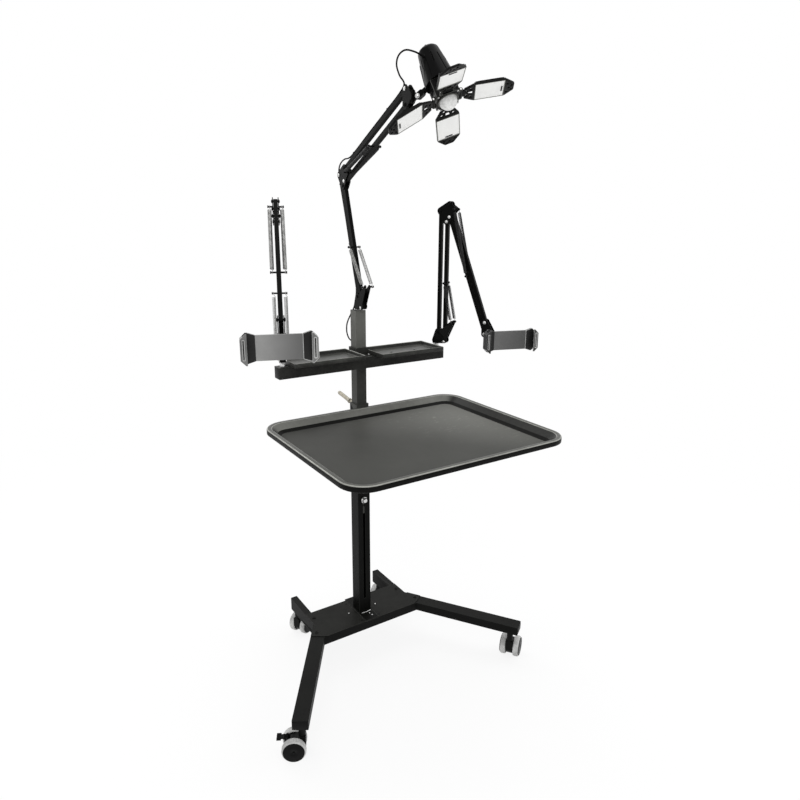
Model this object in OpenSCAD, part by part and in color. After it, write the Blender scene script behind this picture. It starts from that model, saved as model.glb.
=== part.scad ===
// Rolling workstation stand: wheeled base, telescopic column, work tray, crossbar with two shelf trays,
// two spring-balanced tablet arms and a spring-balanced lamp arm with a four-leaf lamp.
// Millimetres, +Z up. The origin is on the floor on the column's axis, and -Y is the side of the work tray.

/* [Base] */
// Height of the deck's top face above the floor
deck_top = 120; // [114:1:130]
// Thickness of the deck plates
deck_t = 2; // [1.5:0.5:3]
// Front to back size of the deck
deck_depth = 128; // [116:1:140]
// Width of the strip between the two deck plates
strip_w = 46; // [44:1:60]
// Half distance between the two side members
apex_x = 149; // [135:1:165]
// Where the front arms leave the side members, in front of the column's axis
apex_y = 12; // [4:1:20]
// Width of the rear arms
rear_arm_w = 20; // [18:1:26]
// Height of the rear arms
rear_arm_h = 40; // [34:1:44]
// Reach of the rear arms behind the column's axis
rear_reach = 171; // [150:1:200]
// Width of the front arms
front_arm_w = 40; // [34:1:44]
// Height of the front arms
front_arm_h = 25; // [22:1:28]
// Length of the front arms
front_arm_len = 366; // [320:1:420]
// Angle of the front arms to the side
front_splay = 33.4; // [25:0.2:40]
// Wall of the arms' tubes
arm_wall = 1.5; // [1.2:0.1:2]

/* [Castors] */
// Diameter of a castor wheel
wheel_d = 60; // [56:1:64]
// Width of one wheel
wheel_w = 17; // [14:0.5:19]
// Width of the housing between the two wheels
housing_w = 20; // [18:0.5:24]
// Distance from the stem to the axle
castor_trail = 20; // [16:0.5:22]
// Diameter of the stem that turns in the arm
stem_d = 10; // [8:0.5:11]
// Height of the stem inside the arm
stem_grip = 18; // [12:1:20]
// Distance from an arm's end to its castor
castor_inset = 24; // [20:1:30]
// Diameter of the axle
axle_d = 8; // [6:0.5:10]

/* [Column] */
// Outer size of the lower column's square tube
column_size = 40; // [38:1:44]
// Height of the lower column's top
column_top = 522; // [516:1:530]
// Outer size of the post that slides in it
post_size = 30; // [28:1:31]
// Wall of both tubes
column_wall = 1.5; // [1.2:0.1:2]
// Height of the post's top above the crossbar
post_over = 120; // [110:1:135]
// Height of the post's lower end
post_low = 446; // [430:1:452]
// Width of the slot in the column's front
slot_w = 6.5; // [6.3:0.1:8]
// Height of the slot's lower end
slot_low = 167; // [150:1:200]
// Height of the clamping knob
knob_z = 489; // [484:1:494]
// Diameter of the knob's washer
knob_washer_d = 19; // [16:0.5:22]
// Diameter of the knob's bolt
knob_bolt_d = 6; // [5:0.1:6]

/* [Tray] */
// Width of the work tray
tray_w = 600; // [540:5:660]
// Depth of the work tray
tray_d = 486; // [440:2:520]
// Height of the tray's rim
tray_top = 769; // [765:1:775]
// Whole height of the tray
tray_h = 25; // [22:1:30]
// Height of the straight rim
rim_h = 14; // [10:1:16]
// Width of the rim seen from above
rim_w = 11; // [8:0.5:14]
// Corner radius of the tray
tray_r = 60; // [50:1:75]
// Width of the slope between the rim and the floor
tray_slope = 24; // [18:1:32]
// Thickness of the tray's floor
tray_floor_t = 3; // [2:0.5:4]
// Gap between the column's axis and the tray's rear edge
tray_gap = 20.5; // [20:0.5:30]

/* [Crossbar] */
// Size of the crossbar's square tube
bar_size = 30; // [28:1:32]
// Length of the crossbar
bar_len = 503; // [495:1:540]
// Height of the crossbar's top face
bar_top = 914; // [900:1:930]
// Wall of the sleeve round the post
sleeve_wall = 4; // [3:0.5:5]
// Height of the sleeve
sleeve_h = 57; // [50:1:70]
// How far the sleeve hangs below the crossbar
sleeve_hang = 7; // [4:1:10]
// Width of a shelf tray
shelf_w = 200; // [160:2:201]
// Depth of a shelf tray
shelf_d = 112; // [90:1:118]
// Height of a shelf tray
shelf_h = 12; // [9:1:16]
// Thickness of its sheet
shelf_t = 1.5; // [1.2:0.1:2]
// Distance of the shelf trays from the column's axis
shelf_gap = 22; // [21:0.5:24]

/* [Arms] */
// Distance of a tablet arm's pin from the crossbar's end
arm_inset = 16.5; // [14:0.5:19]
// Distance between the pivots of a tablet arm's bar
tablet_bar_len = 328; // [300:1:360]
// Distance between the pivots of a lamp arm's bar
lamp_bar_len = 320; // [300:1:350]
// Width and depth of the arms' square bars
bar_w = 10; // [9:0.1:10.2]
// Wall of the arms' bars
bar_wall = 1.2; // [0.8:0.1:1.5]
// Thickness of the brackets' plates
plate_t = 2; // [1.5:0.1:2.5]
// Radius of the brackets round a pivot
plate_r = 9; // [8:0.5:9.5]
// Diameter of the pivot rivets
rivet_d = 5; // [4:0.1:5.5]
// Diameter of the rivets' heads
rivet_head_d = 9; // [8:0.5:10]
// Diameter of the pin that an arm turns on
pin_d = 10; // [8:0.5:11]
// Direction of the left arm, counted from +X
left_azimuth = -112.4; // [-130:0.2:-95]
// Direction of the right arm
right_azimuth = -62; // [-80:0.5:-45]
// Direction of the lamp arm
lamp_azimuth = -90; // [-100:1:-80]
// Lean of the tablet arms' lower bars
tablet_lower = 90; // [80:0.5:100]
// Slope of the left arm's upper bars
left_upper = -45.8; // [-60:0.2:-30]
// Slope of the right arm's upper bars
right_upper = -69.8; // [-70:0.2:-40]
// Lean of the lamp arm's lower bars
lamp_lower = 106; // [80:0.5:106]
// Slope of the lamp arm's upper bars
lamp_upper = 27.1; // [0:0.1:40]

/* [Springs] */
// Outer diameter of a balance spring
spring_d = 8; // [7:0.1:8.4]
// Diameter of the springs' wire
wire_d = 1.4; // [1:0.1:1.6]
// Curls of one spring
spring_turns = 6; // [5:1:7]
// Distance of a spring from the arm's middle plane
spring_side = 14; // [13:0.1:15]

/* [Tablet holders] */
// Length of a closed holder over both jaws
holder_len = 148; // [140:1:160]
// Height of a jaw
jaw_h = 60; // [54:1:68]
// Height of the plate between the jaws
cradle_h = 50; // [44:1:52]
// Thickness of the plate
cradle_t = 6; // [5.8:0.1:8]
// How far a jaw stands in front of the plate
jaw_depth = 18; // [15:0.5:24]
// Width of a jaw's side with its flare
jaw_side = 24; // [20:0.5:28]
// Width of a jaw's front lip
lip_w = 13; // [10:0.5:15]
// Diameter of the ball behind the plate
ball_d = 16; // [14:0.5:17]
// Length of the stem from its hinge to the ball
stem_len = 46; // [42:1:60]
// Direction that the left holder faces
left_face = -109; // [-125:1:-95]
// Direction that the right holder faces
right_face = -108; // [-112:1:-80]
// Distance of the ball from the plate's middle, towards the sliding jaw
holder_shift = 6; // [0:0.5:8]

/* [Lamp] */
// Diameter of the shade near its dome
dome_d = 48; // [44:1:54]
// Diameter of the shade at its mouth
mouth_d = 69; // [62:1:76]
// Length of the shade without its tip
shade_len = 86; // [76:1:96]
// Size of the square block under the shade
hub_size = 50; // [46:1:50]
// Height of that block
hub_h = 41; // [36:1:46]
// Diameter of the domed lens
lens_d = 40; // [34:1:42]
// Length of a leaf from its hinge
leaf_len = 112; // [95:1:125]
// Width of a leaf
leaf_w = 54; // [48:1:58]
// Thickness of a leaf
leaf_t = 10; // [8:0.5:11]
// How far the leaves hang below level
leaf_droop = 12; // [0:1:30]
// Direction that the lamp leans to
lamp_face = -80; // [-90:1:-70]
// Lean of the lamp from upright
lamp_tilt = 31; // [20:1:40]
// Turn of the four leaves about the lamp's axis
leaf_turn = 48.8; // [44:0.2:54]
// Diameter of the lamp's cable
cable_d = 3.6; // [3:0.1:3.9]

/* [Hidden] */
$fn = 48;
// Overrun of every cut
over = 1;
// Radial play of a pin in its bore
play = 0.05;
// Play of a sliding square
slide_play = 0.3;
// Gap between pieces that move past each other
gap = 0.4;
// The three arms, in the order of the tables below
LEFT = 0;
RIGHT = 1;
LAMP = 2;

// Base
arm_top = deck_top - deck_t;
end_solid = 42;
rail_size = 25;
deck_lap = 45;
strip_back = 6;

// Castors, front left, front right, rear left, rear right: the directions that they trail in
castor_turns = [152, 35, 30, 40];
wheel_r = wheel_d / 2;
housing_r = 24;
tyre_round = 4;
cap_r = 19;
cap_sink = 1.2;
neck_d = 18;
neck_low = 58;
pedal_pin_r = 1.5;
pedal_x = 37;
pedal_z = 51;
pedal_w = 12;
pedal_reach = 23;
pedal_boss_r = 4;
pedal_cut = [8, 6];
pedal_bend = [8, 3];
pedal_arm_r = 3;
pedal_tip_r = 2;
pedal_pad_len = 11;
pedal_pad_t = 4;
pedal_pad_back = 9;
pedal_pad_lift = 1;
tyre_share = 0.3;
tyre_start = 0.6;
wheel_side = housing_w / 2 + tyre_start;

// Column
post_top = bar_top + post_over;
post_r = post_size / 2;
column_in = column_size - 2 * column_wall;
bush_h = 25;
glide_h = 22;
foot_t = 3;
plug_h = 32;
knob_bolt_back = 6;
knob_grip_d = 15;
knob_grip_h = 9;
knob_shares = [[0.5, 0], [0.5, 0.6], [0.4, 0.85], [0.25, 1]];
washer_t = 2;
grommet_z = 944;
grommet_d = 10;
grommet_h = 3;

// Tray, its bracket and the clamp screw
tray_skin = 0.5;
collar_h = 55;
collar_top = 776;
collar_wall = 3.6;
collar_out = post_size + 2 * slide_play + 2 * collar_wall;
rib_share = 0.8;
shoe_w = 90;
shoe_len = 190;
shoe_t = 4;
boss_d = 18;
boss_len = 8;
screw_d = 8;
screw_z = 757;
screw_rise = 9;
grip_d = 11.6;
grip_len = 60;
screw_stop = 1.4;
shank_len = 26.5;
grip_ribs = 9;
grip_shares = [[0.1, 0.42], [0.25, 0.5], [0.6, 0.5], [0.85, 0.42]];
grip_end_shares = [[0.35, 0.2], [0, 0.3]];
nut_d = 15;
nut_h = 6;

// Crossbar
sleeve_out = post_size + 2 * slide_play + 2 * sleeve_wall;
bar_y = -(sleeve_out + bar_size) / 2;
bar_plug = 3;
socket_d = 17;
left_shelf_front = -78;
right_shelf_front = -90;
arm_spread = bar_len / 2 - arm_inset;

// Arms: pivots of a bracket, counted from its first pivot in the arm's plane
foot_s = 9;
foot_drop = 35;
foot_t2 = 10;
lower_off = [19, -28];
upper_off = [0, 32];
elbow_off = [27, -16];
yoke_ear = [42, 28];
elbow_ear = [44, 4];
ear_r = 5;
tablet_k = [24, -8];
lamp_k = [17, 14];
collar_tablet = 13;
collar_lamp = 2;
collar_d = 16;
rivet_head_h = 1.4;
plate_in = bar_w / 2 + gap;
plate_out = plate_in + plate_t;
stub_r = 2;
stub_end = spring_side + spring_d / 2;
barrel_r = 7;
neck_r = 3;
stem_r = 4;

// Tablet holders
cup_r = 12;
cup_back = 3;
plate_off = 11;
plate_front = plate_off + cradle_t;
tongue_t = 2.6;
tongue_h = 28;
tongue_len = 56;
side_t = 5;
lip_t = 4;
chamfer = 10;
inset_w = 5;
inset_deep = 1.2;

// Lamp
tongue_reach = 16;
stub_len = 56;
stub_rise = 36;
stub_turn = -58.6;
fork_gap = 6.6;
fork_t = 3;
fork_r = 6.6;
boss_h = 26;
boss_r = 7;
bridge_h = 6;
strut_r = 6;
fork_clear = 1;
tilt_pin_out = 1;
dome_share = 0.55;
gland_d = 7.2;
gland_h = 5;
gland_gap = 1.2;
slit_turn = 15;
slit_in = 6;
slit_up = 35;
shade_top = 72;
tip_h = 5;
tip_r = 3;
slit_w = 2.4;
slit_len = 24;
slit_deep = 2;
hinge_r = 30;
hinge_drop = 36;
barrel_w = 22;
leaf_barrel_r = 4;
ear_t = 4;
hinge_part = 26;
end_part = 22;
hinge_pin_r = 1.6;
root_len = 8;
root_gap = 7;
root_flare = 5;
tip_share = 0.42;
root_hole_d = 6;
root_hole_shares = [[0.42, 0.2], [0.78, 0.25]];
tip_hole_d = 5;
tip_hole_shares = [[0.5, -0.26], [0.28, 0], [0.5, 0.26]];

// Springs and cable
rings_a_curl = 8;
spring_sides = 6;
cable_sides = 8;
// Route of the lamp's cable, in stretches counted from the lamp's hinge, the head's upper pivot, the elbow's
// upper pivot, the yoke's first pivot and the grommet in the post's back
shade_route = [
    [-6.5, -24, 72.5], [-24.5, -19, 79.5], [-38.5, -5, 83.5], [-44.5, 11, 75.5], [-40.5, 25, 60.5], [-26.5, 35, 43.5]
];
head_route = [[-2, 10.5, 11.5], [0, 32.5, -4.5], [0, 82.5, -30.5]];
elbow_route = [
    [0, -112, 69.5], [0, -42, 33.5], [0, -16, 23.5], [0, 10, 21.5], [0, 32, 11.5], [0, 41, -6.5], [0, 34, -38.5],
    [0, 10, -114.5]
];
yoke_route = [[0, 49, 133], [0, 28, 59], [0, 17, 24], [0, 19, -3], [0, 30, -31], [-9, 35, -53], [-22, 31, -75]];
post_route = [[-24, 5, 28], [-14, 10, 9], [-3, 11, 1], [0, 7, 0], [0, 3, 0]];

function unit(v) = v / norm(v);
function dir2(a) = [cos(a), sin(a)];
function last(v) = v[len(v) - 1];

// The places of the arms and their pivots in the arm's plane, as [reach, height]
function arm_x(i) = i == LAMP ? 0 : (i == LEFT ? -arm_spread : arm_spread);
function arm_y(i) = i == LAMP ? 0 : bar_y;
function arm_azimuth(i) = [left_azimuth, right_azimuth, lamp_azimuth][i];
function lower_angle(i) = [tablet_lower, tablet_lower, lamp_lower][i];
function upper_angle(i) = [left_upper, right_upper, lamp_upper][i];
function bar_reach(i) = i == LAMP ? lamp_bar_len : tablet_bar_len;
function seat_z(i) = i == LAMP ? post_top : bar_top;
function foot_z(i) = seat_z(i) + (i == LAMP ? collar_lamp : collar_tablet);
function b1(i) = [foot_s, foot_z(i) + foot_drop];
function b2(i) = b1(i) + lower_off;
function e1(i) = b1(i) + bar_reach(i) * dir2(lower_angle(i));
function e2(i) = e1(i) + lower_off;
function g2(i) = e1(i) + elbow_off;
function g1(i) = g2(i) + upper_off;
function h2(i) = g2(i) + bar_reach(i) * dir2(upper_angle(i));
function h1(i) = h2(i) + upper_off;
function k(i) = h2(i) + (i == LAMP ? lamp_k : tablet_k);
function yoke_ear_at(i) = b1(i) + yoke_ear;
function elbow_ear_at(i) = e1(i) + elbow_ear;
function lower_mid(i) = b2(i) + bar_reach(i) / 2 * dir2(lower_angle(i));
function upper_mid(i) = g2(i) + bar_reach(i) / 2 * dir2(upper_angle(i));
// A point of the arm's plane, at the distance t from its middle plane, in the object's frame
function world(i, p, t = 0) = [
    arm_x(i) + p[0] * cos(arm_azimuth(i)) + t * sin(arm_azimuth(i)),
    arm_y(i) + p[0] * sin(arm_azimuth(i)) - t * cos(arm_azimuth(i)),
    p[1]
];
function face_azimuth(i) = i == LEFT ? left_face : right_face;
function ball_at(i) = world(i, k(i) + [stem_len, 0]);

// A tube swept along points, with its frame carried along without twist
function tangent(p, i) = unit(p[min(i + 1, len(p) - 1)] - p[max(i - 1, 0)]);
function square_to(v, t) = unit(v - (v * t) * t);
function first_normal(t) = square_to(abs(t[2]) < 0.8 ? [0, 0, 1] : [1, 0, 0], t);
function normals(p) = [
    for (i = 0, n = first_normal(tangent(p, 0)); i < len(p);
        i = i + 1, n = i < len(p) ? square_to(n, tangent(p, i)) : n) n
];
function tube_points(p, r, sides) = let (ns = normals(p)) [
    for (i = [0 : len(p) - 1]) let (t = tangent(p, i), b = cross(t, ns[i]))
        for (s = [0 : sides - 1]) p[i] + r * (cos(360 * s / sides) * ns[i] + sin(360 * s / sides) * b)
];
function tube_faces(n, sides) = concat(
    [for (i = [0 : n - 2], s = [0 : sides - 1]) let (a = i * sides + s, b = i * sides + (s + 1) % sides)
        [a, a + sides, b]],
    [for (i = [0 : n - 2], s = [0 : sides - 1]) let (a = i * sides + s, b = i * sides + (s + 1) % sides)
        [b, a + sides, b + sides]],
    [for (s = [1 : sides - 2]) [0, s, s + 1]],
    [for (s = [1 : sides - 2]) [(n - 1) * sides, (n - 1) * sides + s + 1, (n - 1) * sides + s]]
);
module tube(p, r, sides) {
    polyhedron(tube_points(p, r, sides), tube_faces(len(p), sides));
}
// A smooth curve through points, with n steps between each two
function bend(a, b, c, d, u) = 0.5 * (2 * b + (c - a) * u + (2 * a - 5 * b + 4 * c - d) * u * u
    + (3 * b - a - 3 * c + d) * u * u * u);
function curve(p, n) = concat(
    [for (i = [0 : len(p) - 2], j = [0 : n - 1])
        bend(p[max(i - 1, 0)], p[i], p[i + 1], p[min(i + 2, len(p) - 1)], j / n)],
    [last(p)]
);

// A spring along +X from its hook at 0 to its hook at length, as the points of its wire
function spring_path(length) = let (
    hook = wire_d,
    r = (spring_d - wire_d) / 2,
    n = spring_turns * rings_a_curl,
    ramp = rings_a_curl / 2,
    body = length - 2 * hook
) concat(
    [[0, 0, 0]],
    [for (i = [0 : n]) let (u = min(1, i / ramp, (n - i) / ramp), a = 360 * i / rings_a_curl)
        [hook + body * i / n, r * u * cos(a), r * u * sin(a)]],
    [[length, 0, 0]]
);
function self_gap(p, away) = min([
    for (i = [0 : len(p) - 1 - away], j = [i + away : len(p) - 1]) norm(p[i] - p[j])
]) - wire_d;

// Two-dimensional helpers
module capsule(a, b, r) {
    translate(a) circle(r);
    translate(b) circle(r);
    translate(a) rotate(atan2(b[1] - a[1], b[0] - a[0])) translate([0, -r]) square([norm(b - a), 2 * r]);
}
module plate_outline(points, r) {
    hull() for (p = points) translate(p) circle(r, $fn = 32);
}
module rounded(w, d, r) {
    square([w - 2 * r, d], center = true);
    square([w, d - 2 * r], center = true);
    for (x = [-1, 1], y = [-1, 1]) translate([x * (w / 2 - r), y * (d / 2 - r)]) circle(r);
}
module square_tube(size, wall, h) {
    linear_extrude(h) difference() {
        square(size, center = true);
        square(size - 2 * wall, center = true);
    }
}

// Base
module side_member(side) {
    front_angle = side > 0 ? front_splay - 90 : -90 - front_splay;
    color("#2b2b2c") difference() {
        union() {
            translate([side * apex_x - rear_arm_w / 2, -apex_y - front_arm_w / 4, arm_top - rear_arm_h])
                cube([rear_arm_w, rear_reach + apex_y + front_arm_w / 4, rear_arm_h]);
            translate([side * apex_x, -apex_y, arm_top - front_arm_h]) rotate([0, 0, front_angle])
                translate([-front_arm_w / 4, -front_arm_w / 2, 0])
                    cube([front_arm_len + front_arm_w / 4, front_arm_w, front_arm_h]);
        }
        translate([side * apex_x - rear_arm_w / 2 + arm_wall, -apex_y, arm_top - rear_arm_h + arm_wall])
            cube([rear_arm_w - 2 * arm_wall, rear_reach + apex_y - end_solid, rear_arm_h - 2 * arm_wall]);
        translate([side * apex_x, -apex_y, arm_top - front_arm_h + arm_wall]) rotate([0, 0, front_angle])
            translate([rear_arm_w, -front_arm_w / 2 + arm_wall, 0])
                cube([front_arm_len - rear_arm_w - end_solid, front_arm_w - 2 * arm_wall,
                    front_arm_h - 2 * arm_wall]);
        translate(front_castor(side)) translate([0, 0, -over]) cylinder(d = stem_d + 2 * play, h = stem_grip + over);
        translate(rear_castor(side)) translate([0, 0, -over]) cylinder(d = stem_d + 2 * play, h = stem_grip + over);
    }
}
function front_castor(side) = let (a = side > 0 ? front_splay - 90 : -90 - front_splay, l = front_arm_len - castor_inset)
    [side * apex_x + l * cos(a), -apex_y + l * sin(a), arm_top - front_arm_h];
function rear_castor(side) = [side * apex_x, rear_reach - castor_inset, arm_top - rear_arm_h];
module base_side_left() {
    side_member(-1);
}
module base_side_right() {
    side_member(1);
}
// One deck plate: it covers the strip's side of the frame and laps over the start of the front arm
module deck_plate(side) {
    a = front_splay;
    inner = [apex_x - front_arm_w / 2 * cos(a) + deck_lap * sin(a), -apex_y - front_arm_w / 2 * sin(a)
        - deck_lap * cos(a)];
    outer = inner + front_arm_w * [cos(a), sin(a)];
    corner = [apex_x + front_arm_w / 2 * cos(a), -apex_y + front_arm_w / 2 * sin(a)];
    translate([0, 0, arm_top]) scale([side, 1, 1]) linear_extrude(deck_t) polygon([
        [strip_w / 2, deck_depth / 2], [apex_x + rear_arm_w / 2, deck_depth / 2],
        [apex_x + rear_arm_w / 2, corner[1]], corner, outer, inner,
        [inner[0] - front_arm_w / 4, -deck_depth / 2], [strip_w / 2, -deck_depth / 2]
    ]);
}
module base_deck() {
    rail_len = 2 * apex_x - rear_arm_w;
    color("#262627") {
        deck_plate(1);
        mirror([1, 0, 0]) deck_plate(1);
        for (y = [-deck_depth / 2, deck_depth / 2 - rail_size]) difference() {
            translate([-rail_len / 2, y, arm_top - rail_size]) cube([rail_len, rail_size, rail_size]);
            translate([-rail_len / 2 - over, y + arm_wall, arm_top - rail_size + arm_wall])
                cube([rail_len + 2 * over, rail_size - 2 * arm_wall, rail_size - 2 * arm_wall]);
        }
        translate([-strip_w / 2, -deck_depth / 2 + rail_size, arm_top - deck_t])
            cube([strip_w, deck_depth - 2 * rail_size, deck_t]);
        for (x = [-1, 1]) translate([x * strip_w / 2 - arm_wall / 2,
            -deck_depth / 2 + rail_size, arm_top - rail_size])
            cube([arm_wall, deck_depth - 2 * rail_size, rail_size]);
    }
}

// Castors: their own frame has the stem on Z, the trail along +X and the floor at 0
module castor_at(n) {
    side = n % 2 == 0 ? -1 : 1;
    p = n < 2 ? front_castor(side) : rear_castor(side);
    translate([p[0], p[1], 0]) rotate([0, 0, castor_turns[n]]) children();
}
module castor_body(n) {
    top = n < 2 ? arm_top - front_arm_h : arm_top - rear_arm_h;
    color("#1d1d1e") castor_at(n) difference() {
        union() {
            rotate([90, 0, 0]) linear_extrude(housing_w, center = true) difference() {
                union() {
                    translate([castor_trail, wheel_r]) circle(housing_r);
                    capsule([0, neck_low - neck_d / 2], [castor_trail, wheel_r + housing_r / 2], neck_d / 2);
                    translate([castor_trail, wheel_r]) polygon([[-castor_trail - neck_d / 2, 0],
                        [0, 0], [0, housing_r], [-castor_trail, neck_low - wheel_r],
                        [-castor_trail - neck_d / 2, neck_low - wheel_r]]);
                    if (n == 0) capsule([castor_trail, wheel_r], [pedal_x, pedal_z], pedal_boss_r);
                }
                if (n == 0) translate([pedal_x, pedal_z]) circle(pedal_pin_r + play);
            }
            translate([0, 0, neck_low - over]) cylinder(d = neck_d, h = top - gap - neck_low + over);
            translate([0, 0, neck_low]) cylinder(d = stem_d, h = top + stem_grip - gap - neck_low);
        }
        translate([castor_trail, 0, wheel_r]) rotate([90, 0, 0])
            cylinder(d = axle_d + 2 * play, h = housing_w + 2 * over, center = true);
        if (n == 0) translate([pedal_x - pedal_cut[0], -pedal_w / 2 - gap, pedal_z - pedal_cut[1]])
            cube([2 * pedal_reach, pedal_w + 2 * gap, 4 * pedal_reach]);
    }
}
module castor_wheels(n) {
    tyre_edge = tyre_share * tyre_round;
    color("#b9b9b8") castor_at(n) translate([castor_trail, 0, wheel_r]) rotate([90, 0, 0]) {
        cylinder(d = axle_d, h = 2 * wheel_side + over, center = true);
        for (m = [0, 1]) mirror([0, 0, m]) translate([0, 0, wheel_side]) rotate_extrude() polygon([
            [0, 0], [wheel_r - tyre_round, 0], [wheel_r - tyre_edge, tyre_edge], [wheel_r, tyre_round],
            [wheel_r, wheel_w - tyre_round], [wheel_r - tyre_edge, wheel_w - tyre_edge],
            [wheel_r - tyre_round, wheel_w], [cap_r, wheel_w], [cap_r - cap_sink, wheel_w - cap_sink],
            [0, wheel_w - cap_sink]
        ]);
    }
}
module castor_fl_pedal() {
    color("#1a1a1b") castor_at(0) {
        translate([pedal_x, 0, pedal_z]) rotate([90, 0, 0]) {
            cylinder(r = pedal_pin_r, h = housing_w, center = true);
            linear_extrude(pedal_w, center = true) {
                capsule([0, 0], pedal_bend, pedal_arm_r);
                capsule(pedal_bend, [pedal_reach, pedal_bend[1]], pedal_tip_r);
            }
        }
        translate([pedal_x + pedal_reach - pedal_pad_back, -housing_w / 2, pedal_z + pedal_pad_lift])
            cube([pedal_pad_len, housing_w, pedal_pad_t]);
    }
}

// Column
module column_lower() {
    color("#29292a") difference() {
        union() {
            translate([0, 0, arm_top + foot_t]) square_tube(column_size, column_wall, column_top - arm_top - foot_t);
            translate([-strip_w / 2 + gap, -deck_depth / 2, arm_top])
                cube([strip_w - 2 * gap, deck_depth + strip_back, foot_t]);
            translate([0, 0, column_top - bush_h]) square_tube(column_in + 2 * over, over + (column_in - post_size) / 2
                - slide_play, bush_h);
        }
        translate([-slot_w / 2, -column_size / 2 - over, slot_low + slot_w / 2])
            cube([slot_w, column_wall + 2 * over, knob_z - slot_low - slot_w / 2]);
        for (z = [slot_low + slot_w / 2, knob_z]) translate([0, -column_size / 2 - over, z]) rotate([-90, 0, 0])
            cylinder(d = slot_w, h = column_wall + 2 * over);
    }
}
module column_upper() {
    front = -(column_in / 2);
    color("#2d2d2e") difference() {
        union() {
            translate([0, 0, post_low]) square_tube(post_size, column_wall, post_top - post_low);
            translate([0, 0, post_low]) linear_extrude(glide_h) square(column_in - 2 * slide_play, center = true);
            translate([0, 0, post_top - plug_h]) linear_extrude(plug_h) square(post_size - column_wall, center = true);
            translate([0, front + slide_play, knob_z]) rotate([-90, 0, 0])
                cylinder(d = knob_grip_d, h = -front - post_r + column_wall);
            translate([0, post_r - column_wall, grommet_z]) rotate([-90, 0, 0])
                cylinder(d = grommet_d, h = grommet_h + column_wall);
        }
        translate([0, 0, post_top - plug_h + column_wall]) cylinder(d = pin_d + 2 * play, h = plug_h);
        translate([0, front, knob_z]) rotate([-90, 0, 0])
            cylinder(d = knob_bolt_d + 2 * play, h = column_in / 2 - post_r + 2 * column_wall);
        translate([0, post_r - 2 * column_wall, grommet_z]) rotate([-90, 0, 0])
            cylinder(d = cable_d + 2 * gap, h = grommet_h + 4 * column_wall);
    }
}
module height_knob() {
    face = -column_size / 2 - gap / 2;
    color("#c8c8c8") translate([0, 0, knob_z]) rotate([90, 0, 0]) {
        translate([0, 0, post_r - knob_bolt_back]) cylinder(d = knob_bolt_d, h = -face - post_r + knob_bolt_back + over);
        translate([0, 0, -face]) cylinder(d = knob_washer_d, h = washer_t);
        translate([0, 0, -face + washer_t]) rotate_extrude() polygon(concat(
            [[0, 0]], [for (e = knob_shares) [knob_grip_d * e[0], knob_grip_h * e[1]]], [[0, knob_grip_h]]
        ));
    }
}

// Work tray
module tray_slab(inset, z, h) {
    translate([0, 0, z]) linear_extrude(h) rounded(tray_w - 2 * inset, tray_d - 2 * inset, tray_r - inset);
}
module tray() {
    lower = tray_h - rim_h;
    color("#323233") translate([0, -tray_gap - tray_d / 2, tray_top - tray_h]) difference() {
        union() {
            tray_slab(0, lower, rim_h);
            hull() {
                tray_slab(tray_slope, 0, tray_skin, $fn = 32);
                tray_slab(over, lower - tray_skin, tray_skin, $fn = 32);
            }
        }
        hull() {
            tray_slab(tray_slope + rim_w, tray_floor_t, tray_skin, $fn = 32);
            tray_slab(rim_w, tray_h, over, $fn = 32);
        }
    }
}
module tray_bracket() {
    under = tray_top - tray_h;
    color("#29292a") difference() {
        union() {
            translate([0, 0, collar_top - collar_h]) linear_extrude(collar_h) square(collar_out, center = true);
            translate([-shoe_w / 2, -collar_out / 2 - shoe_len, under - shoe_t]) cube([shoe_w, shoe_len + over, shoe_t]);
            for (x = [-1, 1]) translate([x * (collar_out / 2 - shoe_t / 2), -collar_out / 2 + over, under - shoe_t])
                rotate([0, 90, 0]) linear_extrude(shoe_t, center = true)
                    polygon([[0, 0], [collar_h / 2 - shoe_t, 0], [0, -shoe_len * rib_share]]);
            translate([0, post_r + column_wall, screw_z]) rotate([screw_rise - 90, 0, 0])
                cylinder(d = boss_d, h = collar_out / 2 - post_r + boss_len);
        }
        translate([0, 0, collar_top - collar_h - over]) linear_extrude(collar_h + 2 * over)
            square(post_size + 2 * slide_play, center = true);
        translate([0, 0, screw_z - post_r * tan(-screw_rise)]) rotate([screw_rise - 90, 0, 0])
            cylinder(d = screw_d + 2 * play, h = collar_out + boss_len);
    }
}
module clamp_screw() {
    start = post_r + screw_stop;
    nut_from = collar_out / 2 + boss_len + shank_len;
    color("#bdbdbd") translate([0, 0, screw_z - post_r * tan(-screw_rise)]) rotate([screw_rise - 90, 0, 0]) {
        translate([0, 0, start]) cylinder(d = screw_d, h = nut_from + nut_h + over - start);
        translate([0, 0, nut_from]) cylinder(d = nut_d, h = nut_h, $fn = 6);
        translate([0, 0, nut_from + nut_h]) rotate_extrude() polygon(concat(
            [[0, 0]],
            [for (i = [0 : grip_ribs - 1], e = grip_shares) [grip_d * e[1], (i + e[0]) * grip_len / grip_ribs]],
            [for (e = grip_end_shares) [grip_d * e[0], grip_len + grip_d * e[1]]]
        ));
    }
}

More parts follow.
